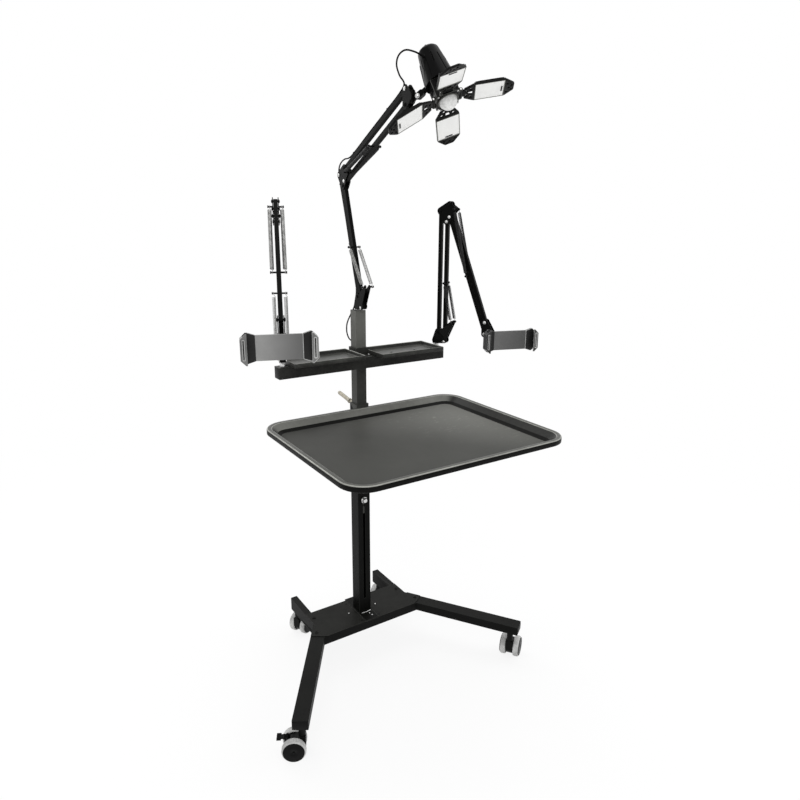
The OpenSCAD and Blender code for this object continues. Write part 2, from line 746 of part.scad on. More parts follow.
// Crossbar and its shelf trays
module crossbar() {
    color("#28282a") difference() {
        union() {
            translate([-bar_len / 2, bar_y - bar_size / 2, bar_top - bar_size]) difference() {
                cube([bar_len, bar_size, bar_size]);
                translate([bar_plug, arm_wall, arm_wall])
                    cube([bar_len - 2 * bar_plug, bar_size - 2 * arm_wall, bar_size - 2 * arm_wall]);
            }
            for (x = [-1, 1]) translate([x * arm_spread, bar_y, bar_top - bar_size]) cylinder(d = socket_d, h = bar_size);
            translate([0, 0, bar_top - bar_size - sleeve_hang]) square_tube(sleeve_out, sleeve_wall, sleeve_h);
        }
        for (x = [-1, 1]) translate([x * arm_spread, bar_y, bar_top - bar_size + arm_wall])
            cylinder(d = pin_d + 2 * play, h = bar_size);
    }
}
module shelf(x, front) {
    translate([x, front, bar_top]) {
        cube([shelf_w, shelf_d, shelf_t]);
        for (y = [0, shelf_d - shelf_t]) translate([0, y, 0]) cube([shelf_w, shelf_t, shelf_h]);
        for (u = [0, shelf_w - shelf_t]) translate([u, 0, 0]) cube([shelf_t, shelf_d, shelf_h]);
    }
}
module shelves() {
    color("#303031") {
        shelf(-shelf_gap - shelf_w, left_shelf_front);
        shelf(shelf_gap, right_shelf_front);
    }
}

// Spring-balanced arms, drawn in the arm's plane: X is the reach, Y the height, Z the side
module in_plane(i) {
    translate([arm_x(i), arm_y(i), 0]) rotate([0, 0, arm_azimuth(i)]) rotate([90, 0, 0]) children();
}
module bar(i, from, angle, mid_pin) {
    length = bar_reach(i);
    color("#202021") in_plane(i) translate(from) rotate([0, 0, angle]) {
        difference() {
            linear_extrude(bar_w, center = true) capsule([0, 0], [length, 0], bar_w / 2);
            translate([-bar_w, -bar_w / 2 + bar_wall, -bar_w / 2 + bar_wall])
                cube([length + 2 * bar_w, bar_w - 2 * bar_wall, bar_w - 2 * bar_wall]);
            for (x = [0, length]) translate([x, 0, 0])
                cylinder(d = rivet_d + 2 * play, h = bar_w + 2 * over, center = true);
        }
        if (mid_pin) translate([length / 2, 0, 0]) cylinder(r = stub_r, h = 2 * stub_end, center = true);
    }
}
module rivet(at) {
    translate(at) {
        cylinder(d = rivet_d, h = 2 * plate_out, center = true);
        for (m = [0, 1]) mirror([0, 0, m]) translate([0, 0, plate_out - gap / 2]) rotate_extrude() polygon([
            [0, 0], [rivet_head_d / 2, 0], [rivet_head_d / 2, gap], [rivet_head_d / 3, rivet_head_h + gap / 2],
            [0, rivet_head_h + gap / 2]
        ]);
    }
}
module both_plates() {
    for (m = [0, 1]) mirror([0, 0, m]) translate([0, 0, plate_in]) linear_extrude(plate_t) children();
}
module ear_stubs(at) {
    for (m = [0, 1]) mirror([0, 0, m]) translate([at[0], at[1], plate_in]) cylinder(r = stub_r, h = stub_end - plate_in);
}
module yoke(i) {
    foot = foot_z(i);
    collar = foot - seat_z(i);
    color("#1e1e1f") in_plane(i) {
        both_plates() {
            plate_outline([[0, foot + plate_r], b2(i) + [0, plate_r - lower_off[0] / 4], b1(i)], plate_r);
            plate_outline([b1(i) + [lower_off[0] / 2, 0], b2(i) + [0, plate_r / 2], yoke_ear_at(i)], ear_r);
        }
        rivet(b1(i));
        rivet(b2(i));
        ear_stubs(yoke_ear_at(i));
        translate([-plate_r + over, foot + over / 2, -plate_in - over])
            cube([2 * plate_r, foot_t2, 2 * plate_in + 2 * over]);
    }
    color("#b0b0b0") translate([arm_x(i), arm_y(i), 0]) {
        translate([0, 0, seat_z(i) + gap]) cylinder(d = collar_d, h = collar - gap + over);
        translate([0, 0, seat_z(i) - bar_size + 4 * column_wall]) cylinder(d = pin_d, h = bar_size);
    }
}
module elbow(i) {
    color("#1e1e1f") in_plane(i) {
        both_plates() {
            plate_outline([e1(i), e2(i), g2(i), g1(i)], plate_r);
            plate_outline([g1(i), g2(i), elbow_ear_at(i)], ear_r);
        }
        for (p = [e1(i), e2(i), g1(i), g2(i)]) rivet(p);
        ear_stubs(elbow_ear_at(i));
    }
}
module head(i) {
    color("#1e1e1f") in_plane(i) {
        both_plates() plate_outline([h1(i), h2(i), k(i)], plate_r);
        for (p = [h1(i), h2(i)]) rivet(p);
        if (i != LAMP) rivet(k(i));
        if (i == LAMP) translate([k(i)[0] - boss_r, k(i)[1] - bridge_h / 2, -plate_in - over])
            cube([2 * boss_r, bridge_h, 2 * plate_in + 2 * over]);
    }
    if (i == LAMP) color("#1e1e1f") translate(world(i, k(i))) rotate([0, 0, stub_turn]) difference() {
        union() {
            translate([0, 0, -boss_h / 2]) cylinder(r = boss_r - play, h = boss_h);
            rotate([90, 0, 0]) linear_extrude(fork_gap - 2 * slide_play, center = true)
                capsule([0, 0], [tongue_reach, 0], fork_r - slide_play);
        }
        translate([tongue_reach, 0, 0]) rotate([90, 0, 0]) cylinder(d = rivet_d + 2 * play, h = 4 * fork_r, center = true);
    }
}
module springs(i, from, to) {
    length = norm(to - from);
    angle = atan2(to[1] - from[1], to[0] - from[0]);
    seat = stub_r + slide_play;
    color("#cfcfcf") in_plane(i) for (m = [-1, 1]) translate([from[0], from[1], m * spring_side]) rotate([0, 0, angle])
        translate([seat, 0, 0]) tube(spring_path(length - 2 * seat), wire_d / 2, spring_sides);
}

// Tablet holders: the stem with its ball, and the cradle in its own frame with +X out of the plate
module stem(i) {
    color("#1c1c1d") in_plane(i) translate(k(i)) difference() {
        union() {
            cylinder(r = barrel_r, h = bar_w, center = true);
            rotate([0, 90, 0]) cylinder(r = stem_r, h = stem_len - ball_d);
            rotate([0, 90, 0]) cylinder(r = neck_r, h = stem_len);
            translate([stem_len, 0, 0]) sphere(d = ball_d);
        }
        cylinder(d = rivet_d + 2 * play, h = bar_w + 2 * over, center = true);
    }
}
module holder_frame(i) {
    translate(ball_at(i)) rotate([0, 0, face_azimuth(i)]) translate([0, -holder_shift, 0]) children();
}
module jaw_outline() {
    w = holder_len / 2;
    h = jaw_h / 2;
    rotate([90, 0, 90]) linear_extrude(plate_front + jaw_depth) polygon([
        [w, -h + chamfer], [w, h - chamfer], [w - chamfer, h], [w - jaw_side + chamfer, h],
        [w - jaw_side - chamfer / 2, cradle_h / 2], [w - jaw_side - chamfer / 2, -cradle_h / 2],
        [w - jaw_side + chamfer, -h], [w - chamfer, -h]
    ]);
}
// Side, back and front lip of a jaw, cut to its chamfered outline, with the seat of the rubber strip
module jaw_shell() {
    w = holder_len / 2;
    tip = plate_front + jaw_depth;
    back = plate_front - cradle_t;
    difference() {
        intersection() {
            jaw_outline();
            translate([0, 0, -jaw_h]) linear_extrude(2 * jaw_h) polygon([
                [back, w - jaw_side - chamfer], [back, w], [tip, w], [tip, w - lip_w], [tip - lip_t, w - lip_w],
                [tip - lip_t, w - side_t], [plate_front, w - side_t], [plate_front, w - jaw_side - chamfer]
            ]);
        }
        translate([tip - inset_deep, w - lip_w + (lip_w - inset_w) / 2, -jaw_h / 2 + chamfer])
            cube([over + inset_deep, inset_w, jaw_h - 2 * chamfer]);
    }
}
module cradle(i) {
    w = holder_len / 2;
    back = plate_front - cradle_t;
    end = w - jaw_side - chamfer / 2 - gap;
    channel = (cradle_t - tongue_t) / 2 - slide_play;
    color("#3a3a3b") holder_frame(i) difference() {
        union() {
            translate([back, -w + jaw_side / 2, -cradle_h / 2]) cube([cradle_t, w - jaw_side / 2 + end, cradle_h]);
            mirror([0, 1, 0]) jaw_shell();
            translate([-cup_back, holder_shift, 0]) rotate([0, 90, 0]) cylinder(r = cup_r, h = cup_back + back + channel / 2);
        }
        translate([0, holder_shift, 0]) sphere(d = ball_d + 2 * slide_play);
        translate([back + channel, end - tongue_len - 2 * gap, -tongue_h / 2 - slide_play])
            cube([tongue_t + 2 * slide_play, tongue_len + 2 * gap + over, tongue_h + 2 * slide_play]);
    }
}
module jaw(i) {
    w = holder_len / 2;
    end = w - jaw_side - chamfer / 2 - gap;
    color("#3a3a3b") holder_frame(i) {
        jaw_shell();
        translate([plate_front - cradle_t / 2 - tongue_t / 2, end - tongue_len, -tongue_h / 2])
            cube([tongue_t, tongue_len + 2 * chamfer, tongue_h]);
    }
}

// Lamp: its frame has the shade's axis on Z, with the mouth towards -Z
function lamp_hinge() = world(LAMP, k(LAMP)) + tongue_reach * [cos(stub_turn), sin(stub_turn), 0];
function from(p, route) = [for (e = route) p + e];
cable_route = concat(
    from(lamp_hinge(), shade_route), from(world(LAMP, h1(LAMP)), head_route), from(world(LAMP, g1(LAMP)), elbow_route),
    from(world(LAMP, b1(LAMP)), yoke_route), from([0, post_r, grommet_z], post_route)
);
function lamp_centre() = lamp_hinge() + stub_len * [
    cos(stub_rise) * cos(stub_turn), cos(stub_rise) * sin(stub_turn), sin(stub_rise)
];
module lamp_frame() {
    translate(lamp_centre()) rotate([0, 0, lamp_face]) rotate([0, -lamp_tilt, 0]) children();
}
module lamp_shade() {
    low = shade_top - shade_len;
    r1 = dome_d / 2;
    r2 = mouth_d / 2;
    color("#151515") {
        difference() {
            union() {
                lamp_frame() rotate_extrude() polygon(concat(
                    [[0, low], [r2, low], [r2, low + over]],
                    [for (a = [0 : 15 : 75]) [r1 * cos(a), shade_top - r1 * dome_share * (1 - sin(a))]],
                    [[r1 / 4, shade_top], [tip_r, shade_top], [tip_r, shade_top + tip_h], [0, shade_top + tip_h]]
                ));
                translate(lamp_hinge()) rotate([0, 0, stub_turn]) rotate([0, -stub_rise, 0]) {
                    translate([fork_r, 0, 0]) rotate([0, 90, 0]) cylinder(r = strut_r, h = stub_len - r1);
                    rotate([90, 0, 0]) linear_extrude(fork_gap + 2 * fork_t, center = true)
                        capsule([0, 0], [fork_r + fork_t, 0], fork_r);
                }
                translate(cable_route[0]) rotate([0, -90, 0]) translate([0, 0, -gland_h])
                    cylinder(d = gland_d, h = gland_h - gland_gap);
            }
            translate(lamp_hinge()) rotate([0, 0, stub_turn]) rotate([0, -stub_rise, 0]) rotate([90, 0, 0])
                linear_extrude(fork_gap, center = true) capsule([-2 * fork_r, 0], [0, 0], fork_r + fork_clear);
            lamp_frame() for (a = [0 : 60 : 300]) rotate([0, 0, a + slit_turn])
                translate([(r1 + r2) / 2 - slit_in, -slit_w / 2, low + slit_up]) cube([4 * slit_deep, slit_w, slit_len]);
        }
        translate(lamp_hinge()) rotate([0, 0, stub_turn]) rotate([90, 0, 0])
            cylinder(d = rivet_d, h = fork_gap + 2 * (fork_t + tilt_pin_out), center = true);
    }
}
module lamp_hub() {
    top = shade_top - shade_len;
    color("#242425") lamp_frame() rotate([0, 0, leaf_turn]) {
        translate([-hub_size / 2, -hub_size / 2, top - hub_h]) cube([hub_size, hub_size, hub_h]);
        translate([0, 0, top - hub_h]) intersection() {
            sphere(d = lens_d);
            translate([0, 0, -lens_d]) cylinder(d = 2 * lens_d, h = lens_d + over);
        }
        for (a = [0 : 90 : 270]) rotate([0, 0, a]) for (y = [-1, 1])
            translate([0, y * (barrel_w / 2 + gap + ear_t / 2), 0]) rotate([90, 0, 0]) linear_extrude(ear_t, center = true)
                difference() {
                    capsule([hub_size / 2 - leaf_barrel_r, top - hinge_drop], [hinge_r, top - hinge_drop], leaf_barrel_r);
                    translate([hinge_r, top - hinge_drop]) circle(hinge_pin_r + play);
                }
    }
}
module leaf(turn) {
    top = shade_top - shade_len;
    w = leaf_w / 2;
    root = barrel_w / 2;
    color("#e8e8e6") lamp_frame() rotate([0, 0, leaf_turn + turn]) translate([hinge_r, 0, top - hinge_drop])
        rotate([0, leaf_droop, 0]) difference() {
            union() {
                rotate([90, 0, 0]) cylinder(r = leaf_barrel_r - gap / 2, h = barrel_w, center = true);
                rotate([90, 0, 0]) cylinder(r = hinge_pin_r, h = barrel_w + 2 * ear_t, center = true);
                translate([0, -root, -leaf_barrel_r / 2]) cube([root_len, barrel_w, leaf_barrel_r]);
                translate([0, 0, -leaf_barrel_r]) linear_extrude(leaf_t) polygon([
                    [root_gap, -root - root_flare], [root_gap, root + root_flare], [hinge_part, w],
                    [leaf_len - end_part, w], [leaf_len, w * tip_share], [leaf_len, -w * tip_share],
                    [leaf_len - end_part, -w], [hinge_part, -w]
                ]);
            }
            for (e = root_hole_shares, m = [-1, 1]) translate([hinge_part * e[0], m * leaf_w * e[1], -leaf_t])
                cylinder(d = root_hole_d, h = 2 * leaf_t);
            for (e = tip_hole_shares) translate([leaf_len - end_part * (1 - e[0]), leaf_w * e[1], -leaf_t])
                cylinder(d = tip_hole_d, h = 2 * leaf_t);
        }
}
module lamp_cable() {
    color("#111111") tube(curve(cable_route, 2), cable_d / 2, cable_sides);
}

// The least gap between the curls of each kind of spring
for (i = [LEFT, RIGHT, LAMP]) {
    echo(lower_spring_gap = self_gap(spring_path(norm(lower_mid(i) - yoke_ear_at(i)) - 2 * stub_r), rings_a_curl / 2));
    echo(upper_spring_gap = self_gap(spring_path(norm(upper_mid(i) - elbow_ear_at(i)) - 2 * stub_r), rings_a_curl / 2));
}

base_side_left();
base_side_right();
base_deck();
column_lower();
castor_body(0);  // castor_fl_body
castor_wheels(0);  // castor_fl_wheels
castor_fl_pedal();
castor_body(1);  // castor_fr_body
castor_wheels(1);  // castor_fr_wheels
castor_body(2);  // castor_rl_body
castor_wheels(2);  // castor_rl_wheels
castor_body(3);  // castor_rr_body
castor_wheels(3);  // castor_rr_wheels
height_knob();
column_upper();
tray();
tray_bracket();
clamp_screw();
crossbar();
shelves();
yoke(LEFT);  // left_yoke
bar(LEFT, b1(LEFT), lower_angle(LEFT), false);  // left_lower_bar
bar(LEFT, b2(LEFT), lower_angle(LEFT), true);  // left_lower_link
springs(LEFT, yoke_ear_at(LEFT), lower_mid(LEFT));  // left_lower_springs
elbow(LEFT);  // left_elbow
bar(LEFT, g1(LEFT), upper_angle(LEFT), false);  // left_upper_bar
bar(LEFT, g2(LEFT), upper_angle(LEFT), true);  // left_upper_link
springs(LEFT, elbow_ear_at(LEFT), upper_mid(LEFT));  // left_upper_springs
head(LEFT);  // left_head
stem(LEFT);  // left_stem
cradle(LEFT);  // left_cradle
jaw(LEFT);  // left_jaw
yoke(RIGHT);  // right_yoke
bar(RIGHT, b1(RIGHT), lower_angle(RIGHT), false);  // right_lower_bar
bar(RIGHT, b2(RIGHT), lower_angle(RIGHT), true);  // right_lower_link
springs(RIGHT, yoke_ear_at(RIGHT), lower_mid(RIGHT));  // right_lower_springs
elbow(RIGHT);  // right_elbow
bar(RIGHT, g1(RIGHT), upper_angle(RIGHT), false);  // right_upper_bar
bar(RIGHT, g2(RIGHT), upper_angle(RIGHT), true);  // right_upper_link
springs(RIGHT, elbow_ear_at(RIGHT), upper_mid(RIGHT));  // right_upper_springs
head(RIGHT);  // right_head
stem(RIGHT);  // right_stem
cradle(RIGHT);  // right_cradle
jaw(RIGHT);  // right_jaw
yoke(LAMP);  // lamp_yoke
bar(LAMP, b1(LAMP), lower_angle(LAMP), false);  // lamp_lower_bar
bar(LAMP, b2(LAMP), lower_angle(LAMP), true);  // lamp_lower_link
springs(LAMP, yoke_ear_at(LAMP), lower_mid(LAMP));  // lamp_lower_springs
elbow(LAMP);  // lamp_elbow
bar(LAMP, g1(LAMP), upper_angle(LAMP), false);  // lamp_upper_bar
bar(LAMP, g2(LAMP), upper_angle(LAMP), true);  // lamp_upper_link
springs(LAMP, elbow_ear_at(LAMP), upper_mid(LAMP));  // lamp_upper_springs
head(LAMP);  // lamp_head
lamp_shade();
lamp_hub();
leaf(0);  // leaf_right
leaf(90);  // leaf_back
leaf(180);  // leaf_left
leaf(270);  // leaf_front
lamp_cable();
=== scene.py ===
"""Looks of the rolling workstation stand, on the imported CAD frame. Metres, Z up, the work tray towards -Y."""
import math

import bmesh
import bpy
from mathutils import Matrix, Vector


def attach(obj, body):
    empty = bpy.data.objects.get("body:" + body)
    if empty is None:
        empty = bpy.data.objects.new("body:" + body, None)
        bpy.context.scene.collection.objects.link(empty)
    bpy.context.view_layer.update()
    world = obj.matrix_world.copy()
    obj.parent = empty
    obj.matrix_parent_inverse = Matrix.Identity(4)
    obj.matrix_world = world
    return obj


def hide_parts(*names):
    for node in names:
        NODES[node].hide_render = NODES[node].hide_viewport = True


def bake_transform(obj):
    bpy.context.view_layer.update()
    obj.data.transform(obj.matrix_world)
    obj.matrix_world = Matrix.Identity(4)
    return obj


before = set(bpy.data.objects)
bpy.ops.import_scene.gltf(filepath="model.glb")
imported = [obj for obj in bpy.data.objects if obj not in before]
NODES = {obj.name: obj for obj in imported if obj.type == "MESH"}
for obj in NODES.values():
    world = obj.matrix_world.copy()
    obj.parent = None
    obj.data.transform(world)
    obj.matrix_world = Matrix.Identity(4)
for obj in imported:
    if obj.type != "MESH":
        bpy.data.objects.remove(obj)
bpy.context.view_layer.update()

MM = 0.001
UP, DOWN, ACROSS, TO_BACK = (0, 0, 1), (0, 0, -1), (1, 0, 0), (0, 1, 0)


# ---- frames and objects
def axes(x, y, z, origin):
    """The matrix of a frame with these axes and origin."""
    m = Matrix((x, y, z)).transposed().to_4x4()
    m.translation = Vector(origin)
    return m


def aim(point, z, x=None):
    """The frame at a point with its Z along z, and its X as near to x as it can be."""
    z = Vector(z).normalized()
    x = Vector(x) if x is not None else z.orthogonal()
    x = (x - z * x.dot(z)).normalized()
    return axes(x, z.cross(x), z, point)


def shift(x=0.0, y=0.0, z=0.0):
    """A move in mm."""
    return Matrix.Translation((x * MM, y * MM, z * MM))


def turned(degrees, axis="Z"):
    return Matrix.Rotation(math.radians(degrees), 4, axis)


def heading(degrees):
    """The X and Y of the direction at an angle."""
    return math.cos(math.radians(degrees)), math.sin(math.radians(degrees))


def shown(name, data):
    """A new object in the scene."""
    made = bpy.data.objects.new(name, data)
    bpy.context.scene.collection.objects.link(made)
    return made


# ---- camera
CAMERA_AT, CAMERA_LENS = (-0.8415, -1.5048, 1.2726), 28.94
CAMERA_YAW, CAMERA_PITCH, CAMERA_ROLL = (math.radians(a) for a in (32.99, 15.86, 0.28))


def make_camera():
    """The photograph's camera, fitted to the tray, tubes and arms."""
    level = Vector((math.cos(CAMERA_YAW), -math.sin(CAMERA_YAW), 0))
    ahead = Vector((math.sin(CAMERA_YAW), math.cos(CAMERA_YAW), 0))
    view = ahead * math.cos(CAMERA_PITCH) - Vector(UP) * math.sin(CAMERA_PITCH)
    upright = level.cross(view)
    right = math.cos(CAMERA_ROLL) * level + math.sin(CAMERA_ROLL) * upright
    up = math.cos(CAMERA_ROLL) * upright - math.sin(CAMERA_ROLL) * level
    data = bpy.data.cameras.new("camera")
    data.lens, data.sensor_width, data.clip_end = CAMERA_LENS, 36, 60
    camera = shown("camera", data)
    camera.matrix_world = axes(right, up, -view, CAMERA_AT)
    bpy.context.scene.camera = camera


make_camera()


# ---- node trees
def arithmetic(operation, mirrored=False):
    """An operator of Link, as a math node."""
    def operate(link, other):
        return link.graph.maths(operation, *((other, link) if mirrored else (link, other)))
    return operate


class Link:
    """A node's output. Arithmetic on it adds math nodes to its tree."""

    def __init__(self, graph, socket):
        self.graph, self.socket = graph, socket

    __add__ = __radd__ = arithmetic("ADD")
    __sub__, __rsub__ = arithmetic("SUBTRACT"), arithmetic("SUBTRACT", mirrored=True)
    __mul__ = __rmul__ = arithmetic("MULTIPLY")
    __truediv__ = arithmetic("DIVIDE")

    def other(self, name):
        """Another output of the same node."""
        return Link(self.graph, self.socket.node.outputs[name])

    def step(self, low, high):
        """0 up to low, 1 from high on, smooth between."""
        span = {"Value": self, "From Min": low, "From Max": high}
        return self.graph.node("ShaderNodeMapRange", span, interpolation_type="SMOOTHSTEP")


class Graph:
    """A node tree of a material, the world or a modifier."""

    def __init__(self, tree):
        self.tree = tree

    def node(self, kind, sockets=(), out=0, **settings):
        """Adds a node: first its settings, then the values or links of its sockets. Gives one output."""
        made = self.tree.nodes.new(kind)
        for name, value in settings.items():
            setattr(made, name, value)
        for name, value in dict(sockets).items():
            for item in value if isinstance(value, list) else [value]:
                if isinstance(item, Link):
                    self.tree.links.new(item.socket, made.inputs[name])
                else:
                    made.inputs[name].default_value = item
        return Link(self, made.outputs[out] if made.outputs else None)

    def found(self, kind):
        """The node of a type that the tree came with."""
        return next(n for n in self.tree.nodes if n.type == kind)

    def maths(self, operation, a, b):
        return self.node("ShaderNodeMath", {0: a, 1: b}, operation=operation)

    def vector(self, operation, a, b, out="Vector"):
        return self.node("ShaderNodeVectorMath", {0: a, 1: b}, out, operation=operation)


# ---- materials
MATERIALS = {}


class Paint(Graph):
    """A Principled material with patterns in object space. Keywords are constants of its shader."""

    def __init__(self, name, **constants):
        self.material = MATERIALS[name] = bpy.data.materials.new(name)
        self.material.use_nodes = True
        super().__init__(self.material.node_tree)
        self.shader = self.found("BSDF_PRINCIPLED")
        self.place = self.node("ShaderNodeTexCoord", out="Object")
        for key, value in constants.items():
            self.shader.inputs[key.replace("_", " ")].default_value = value

    def noise(self, scale, detail=2.0, rough=0.5, stretch=(1, 1, 1)):
        place = self.vector("MULTIPLY", self.place, stretch)
        values = {"Vector": place, "Scale": scale, "Detail": detail, "Roughness": rough}
        return self.node("ShaderNodeTexNoise", values)

    def along(self, direction, start, end):
        """0 at start and 1 at end, in metres along a direction."""
        return self.vector("DOT_PRODUCT", self.place, direction, "Value").step(start, end)

    def facing(self, direction, low, high):
        """1 on faces that look along a direction."""
        normal = self.node("ShaderNodeNewGeometry", out="Normal")
        return self.vector("DOT_PRODUCT", normal, direction, "Value").step(low, high)

    def blend(self, factor, a, b):
        """The colours a and b, mixed."""
        return self.node("ShaderNodeMix", {0: factor, 6: a, 7: b}, 2, data_type="RGBA")

    def mottled(self, tone, cast, value, spread):
        """A grey that wavers about a value by a share of it. cast turns a value into a colour."""
        return self.blend(tone, cast(value * (1 - spread)), cast(min(1, value * (1 + spread))))

    def finish(self, colour, roughness, height, depth):
        """Wires the shader: its colour, its roughness, and a bump of a real depth."""
        normal = self.node("ShaderNodeBump", {"Height": height, "Distance": depth})
        for name, link in (("Base Color", colour), ("Roughness", roughness), ("Normal", normal)):
            self.tree.links.new(link.socket, self.shader.inputs[name])


def charcoal(value):
    """A black or grey with the slight olive cast of the stand's coating."""
    return value, value * 1.01, value * 0.92, 1


def neutral(value):
    return value, value, value * 0.985, 1


def powder(name, side, top, rough, gloss=0.16, grain=1100, depth=0.00012, spread=0.3, shade=None, front=None):
    """Powder coat: orange peel, slow changes of tone, and a painted light from above, partly dust, that makes
    what looks up lighter. shade is a tone that takes over along a direction, and front is the tone of the faces
    that
    look along a direction: both are painted light and shade."""
    p = Paint(name, Specular_IOR_Level=gloss)
    slow, dust, fine = p.noise(9, 4, 0.6), p.noise(70, 5, 0.7), p.noise(grain)
    tone = (slow * 0.5 + dust * 0.35 + fine * 0.15).step(0.3, 0.7)
    walls, lit_and_dusty_tops = (p.mottled(tone, charcoal, value, spread) for value in (side, top))
    # painted light from above, partly dust: faces that look up take the lighter tone
    colour = p.blend(p.facing(UP, 0.4, 0.95), walls, lit_and_dusty_tops)
    # painted light and shade: a tone along a direction, and a tone on the faces that look one way
    if shade:
        light, direction, start, end = shade
        colour = p.blend(p.along(direction, start, end), colour, p.mottled(tone, charcoal, light, spread / 2))
    if front:
        light, direction = front
        colour = p.blend(p.facing(direction, 0.45, 0.85), colour, p.mottled(tone, charcoal, light, 0.2))
    p.finish(colour, rough - 0.11 + dust * 0.12 + fine * 0.1, fine * 0.75 + dust * 0.25, depth)


def metal(name, value, rough, grain=400):
    """Plated metal with fine streaks and slight stains."""
    p = Paint(name, Metallic=1.0)
    lines, stain = p.noise(grain, 3, 0.6), p.noise(55, 4, 0.6)
    dark = tuple(c * 0.62 for c in value)
    colour = p.blend((stain * 0.6 + lines * 0.4).step(0.32, 0.62), (*dark, 1), (*value, 1))
    p.finish(colour, rough - 0.12 + lines * 0.16 + stain * 0.12, lines, 0.00003)


def plastic(name, value, rough, gloss=0.25, grain=700, depth=0.00008, coat=0.0, spread=0.18, shade=None):
    """Moulded plastic with a fine grain. shade is a tone that takes over along a direction: a painted light and
    shade.
    """
    p = Paint(name, Specular_IOR_Level=gloss, Coat_Weight=coat, Coat_Roughness=0.08)
    slow, fine = p.noise(24, 3, 0.55), p.noise(grain, 3, 0.6)
    colour = p.mottled((slow * 0.7 + fine * 0.3).step(0.3, 0.7), neutral, value, spread)
    # painted light and shade: a tone that takes over along a direction
    if shade:
        light, direction, start, end = shade
        colour = p.blend(p.along(direction, start, end), colour, neutral(light))
    p.finish(colour, rough - 0.12 + fine * 0.14 + slow * 0.1, fine, depth)


def scuffed(name, value, bright, rough, gloss, shade):
    """The tray's floor: a coat with faint long scratches and rubbed marks, and a painted light that lightens it
    towards one side. The scratches and rubbed marks show only on that lit side.
    """
    p = Paint(name, Specular_IOR_Level=gloss)
    light, direction, start, end = shade
    # painted light: the floor grows lighter along a direction, and the wear shows only on that lit side
    lit_side = p.along(direction, start, end)
    slow, dust, fine = p.noise(6, 4, 0.6), p.noise(90, 5, 0.7), p.noise(1500)
    rubbed = p.noise(14, 6, 0.75, (1, 2.2, 1)).step(0.56, 0.70) * lit_side
    lines = p.noise(70, 4, 0.7, (0.7, 1.8, 1)).step(0.60, 0.68) * p.noise(7, 2).step(0.46, 0.54)
    tone = (slow * 0.6 + dust * 0.25 + fine * 0.15).step(0.25, 0.75)
    coat = p.blend(lit_side, p.mottled(tone, charcoal, value, 0.14), charcoal(light))
    worn = p.blend(rubbed * 0.22 + lines * lit_side * 0.5, coat, charcoal(bright))
    p.finish(worn, rough + dust * 0.1 - rubbed * 0.05, fine * 0.7 + lines * 0.3, 0.00006)


ZINC, BRASS = (0.74, 0.74, 0.73), (0.44, 0.41, 0.34)
# Each _edge finish is a lighter tone on the rounded edges of its parts: a painted highlight along the edges,
# partly wear.
powder("frame", 0.0035, 0.0085, 0.50, 0.07)
powder("frame_edge", 0.022, 0.050, 0.40, 0.12)
powder("column", 0.0030, 0.0060, 0.46, 0.06)
powder("column_edge", 0.012, 0.024, 0.40, 0.1)
# painted light: the post grows lighter towards its top
powder("post", 0.046, 0.05, 0.47, shade=(0.115, UP, 0.86, 0.98))
powder("post_edge", 0.14, 0.14, 0.4)
powder("deck", 0.0030, 0.0150, 0.55, 0.08, grain=800, depth=0.0002)
# painted light: the tray's floor grows lighter towards the right and the back
scuffed("tray", 0.052, 0.30, 0.46, 0.12, (0.150, (0.8, 0.6, 0), -0.20, 0.12))
# painted shade on the tray's walls, painted light and shade on its inner slope, painted highlight along the
# rim's edges
powder("tray_wall", 0.0035, 0.010, 0.42, 0.06, grain=1500)
powder("tray_back", 0.010, 0.03, 0.40, 0.2, grain=1500, spread=0.2, front=(0.16, (0, -1, 0.3)))
powder("tray_rim", 0.035, 0.070, 0.36, 0.25, grain=1500, spread=0.16)
powder("tray_line", 0.22, 0.30, 0.34, 0.3, spread=0.4)
powder("bar", 0.020, 0.034, 0.38, 0.12, grain=500, depth=0.0003, spread=0.75)
powder("bar_edge", 0.07, 0.12, 0.35, 0.2, spread=0.5)
powder("shelf", 0.026, 0.060, 0.34, 0.2, grain=600, depth=0.0002, spread=0.5)
powder("shelf_side", 0.034, 0.06, 0.36, 0.2, grain=500, depth=0.0002, spread=0.75)
# painted highlight along the top of the shelves' rims
powder("shelf_line", 0.20, 0.50, 0.34, 0.3, spread=0.5)
powder("arm", 0.0026, 0.003, 0.38, 0.04)
powder("arm_edge", 0.035, 0.04, 0.3, 0.12)
powder("bracket", 0.0026, 0.003, 0.36, 0.05)
powder("bracket_edge", 0.030, 0.04, 0.3, 0.12)
metal("bright", ZINC, 0.27)
metal("spring", (0.46, 0.46, 0.45), 0.36, grain=900)
metal("dark_spring", (0.05, 0.05, 0.05), 0.36, grain=900)
metal("chrome", BRASS, 0.26)
metal("dark_steel", (0.020, 0.020, 0.022), 0.42)
plastic("plug", 0.005, 0.42, 0.08)
plastic("castor", 0.0035, 0.36, 0.08)
plastic("tyre", 0.46, 0.5, grain=200, spread=0.3)
plastic("jaw", 0.016, 0.32, 0.15)
plastic("jaw_edge", 0.46, 0.3, 0.3)
plastic("slot", 0.50, 0.4)
plastic("rubber", 0.008, 0.6, 0.1, grain=900, depth=0.0002)
plastic("shade", 0.0016, 0.16, 0.06, grain=60, depth=0.00006)
plastic("shade_edge", 0.05, 0.2, 0.3)
powder("hub", 0.0030, 0.006, 0.36, 0.08, grain=900)
powder("hub_edge", 0.08, 0.14, 0.36, 0.2)
powder("leaf_black", 0.0030, 0.006, 0.36, 0.08)
powder("leaf_line", 0.22, 0.25, 0.36, 0.2, spread=0.5)
plastic("diffuser", 0.95, 0.36, grain=300, depth=0.00005, spread=0.03)
plastic("lens", 0.70, 0.16, 0.5, grain=160, depth=0.0008, coat=0.6, spread=0.35)
plastic("cable", 0.003, 0.5, 0.03, grain=1500)
plastic("shadow", 0.003, 0.8, 0.02)


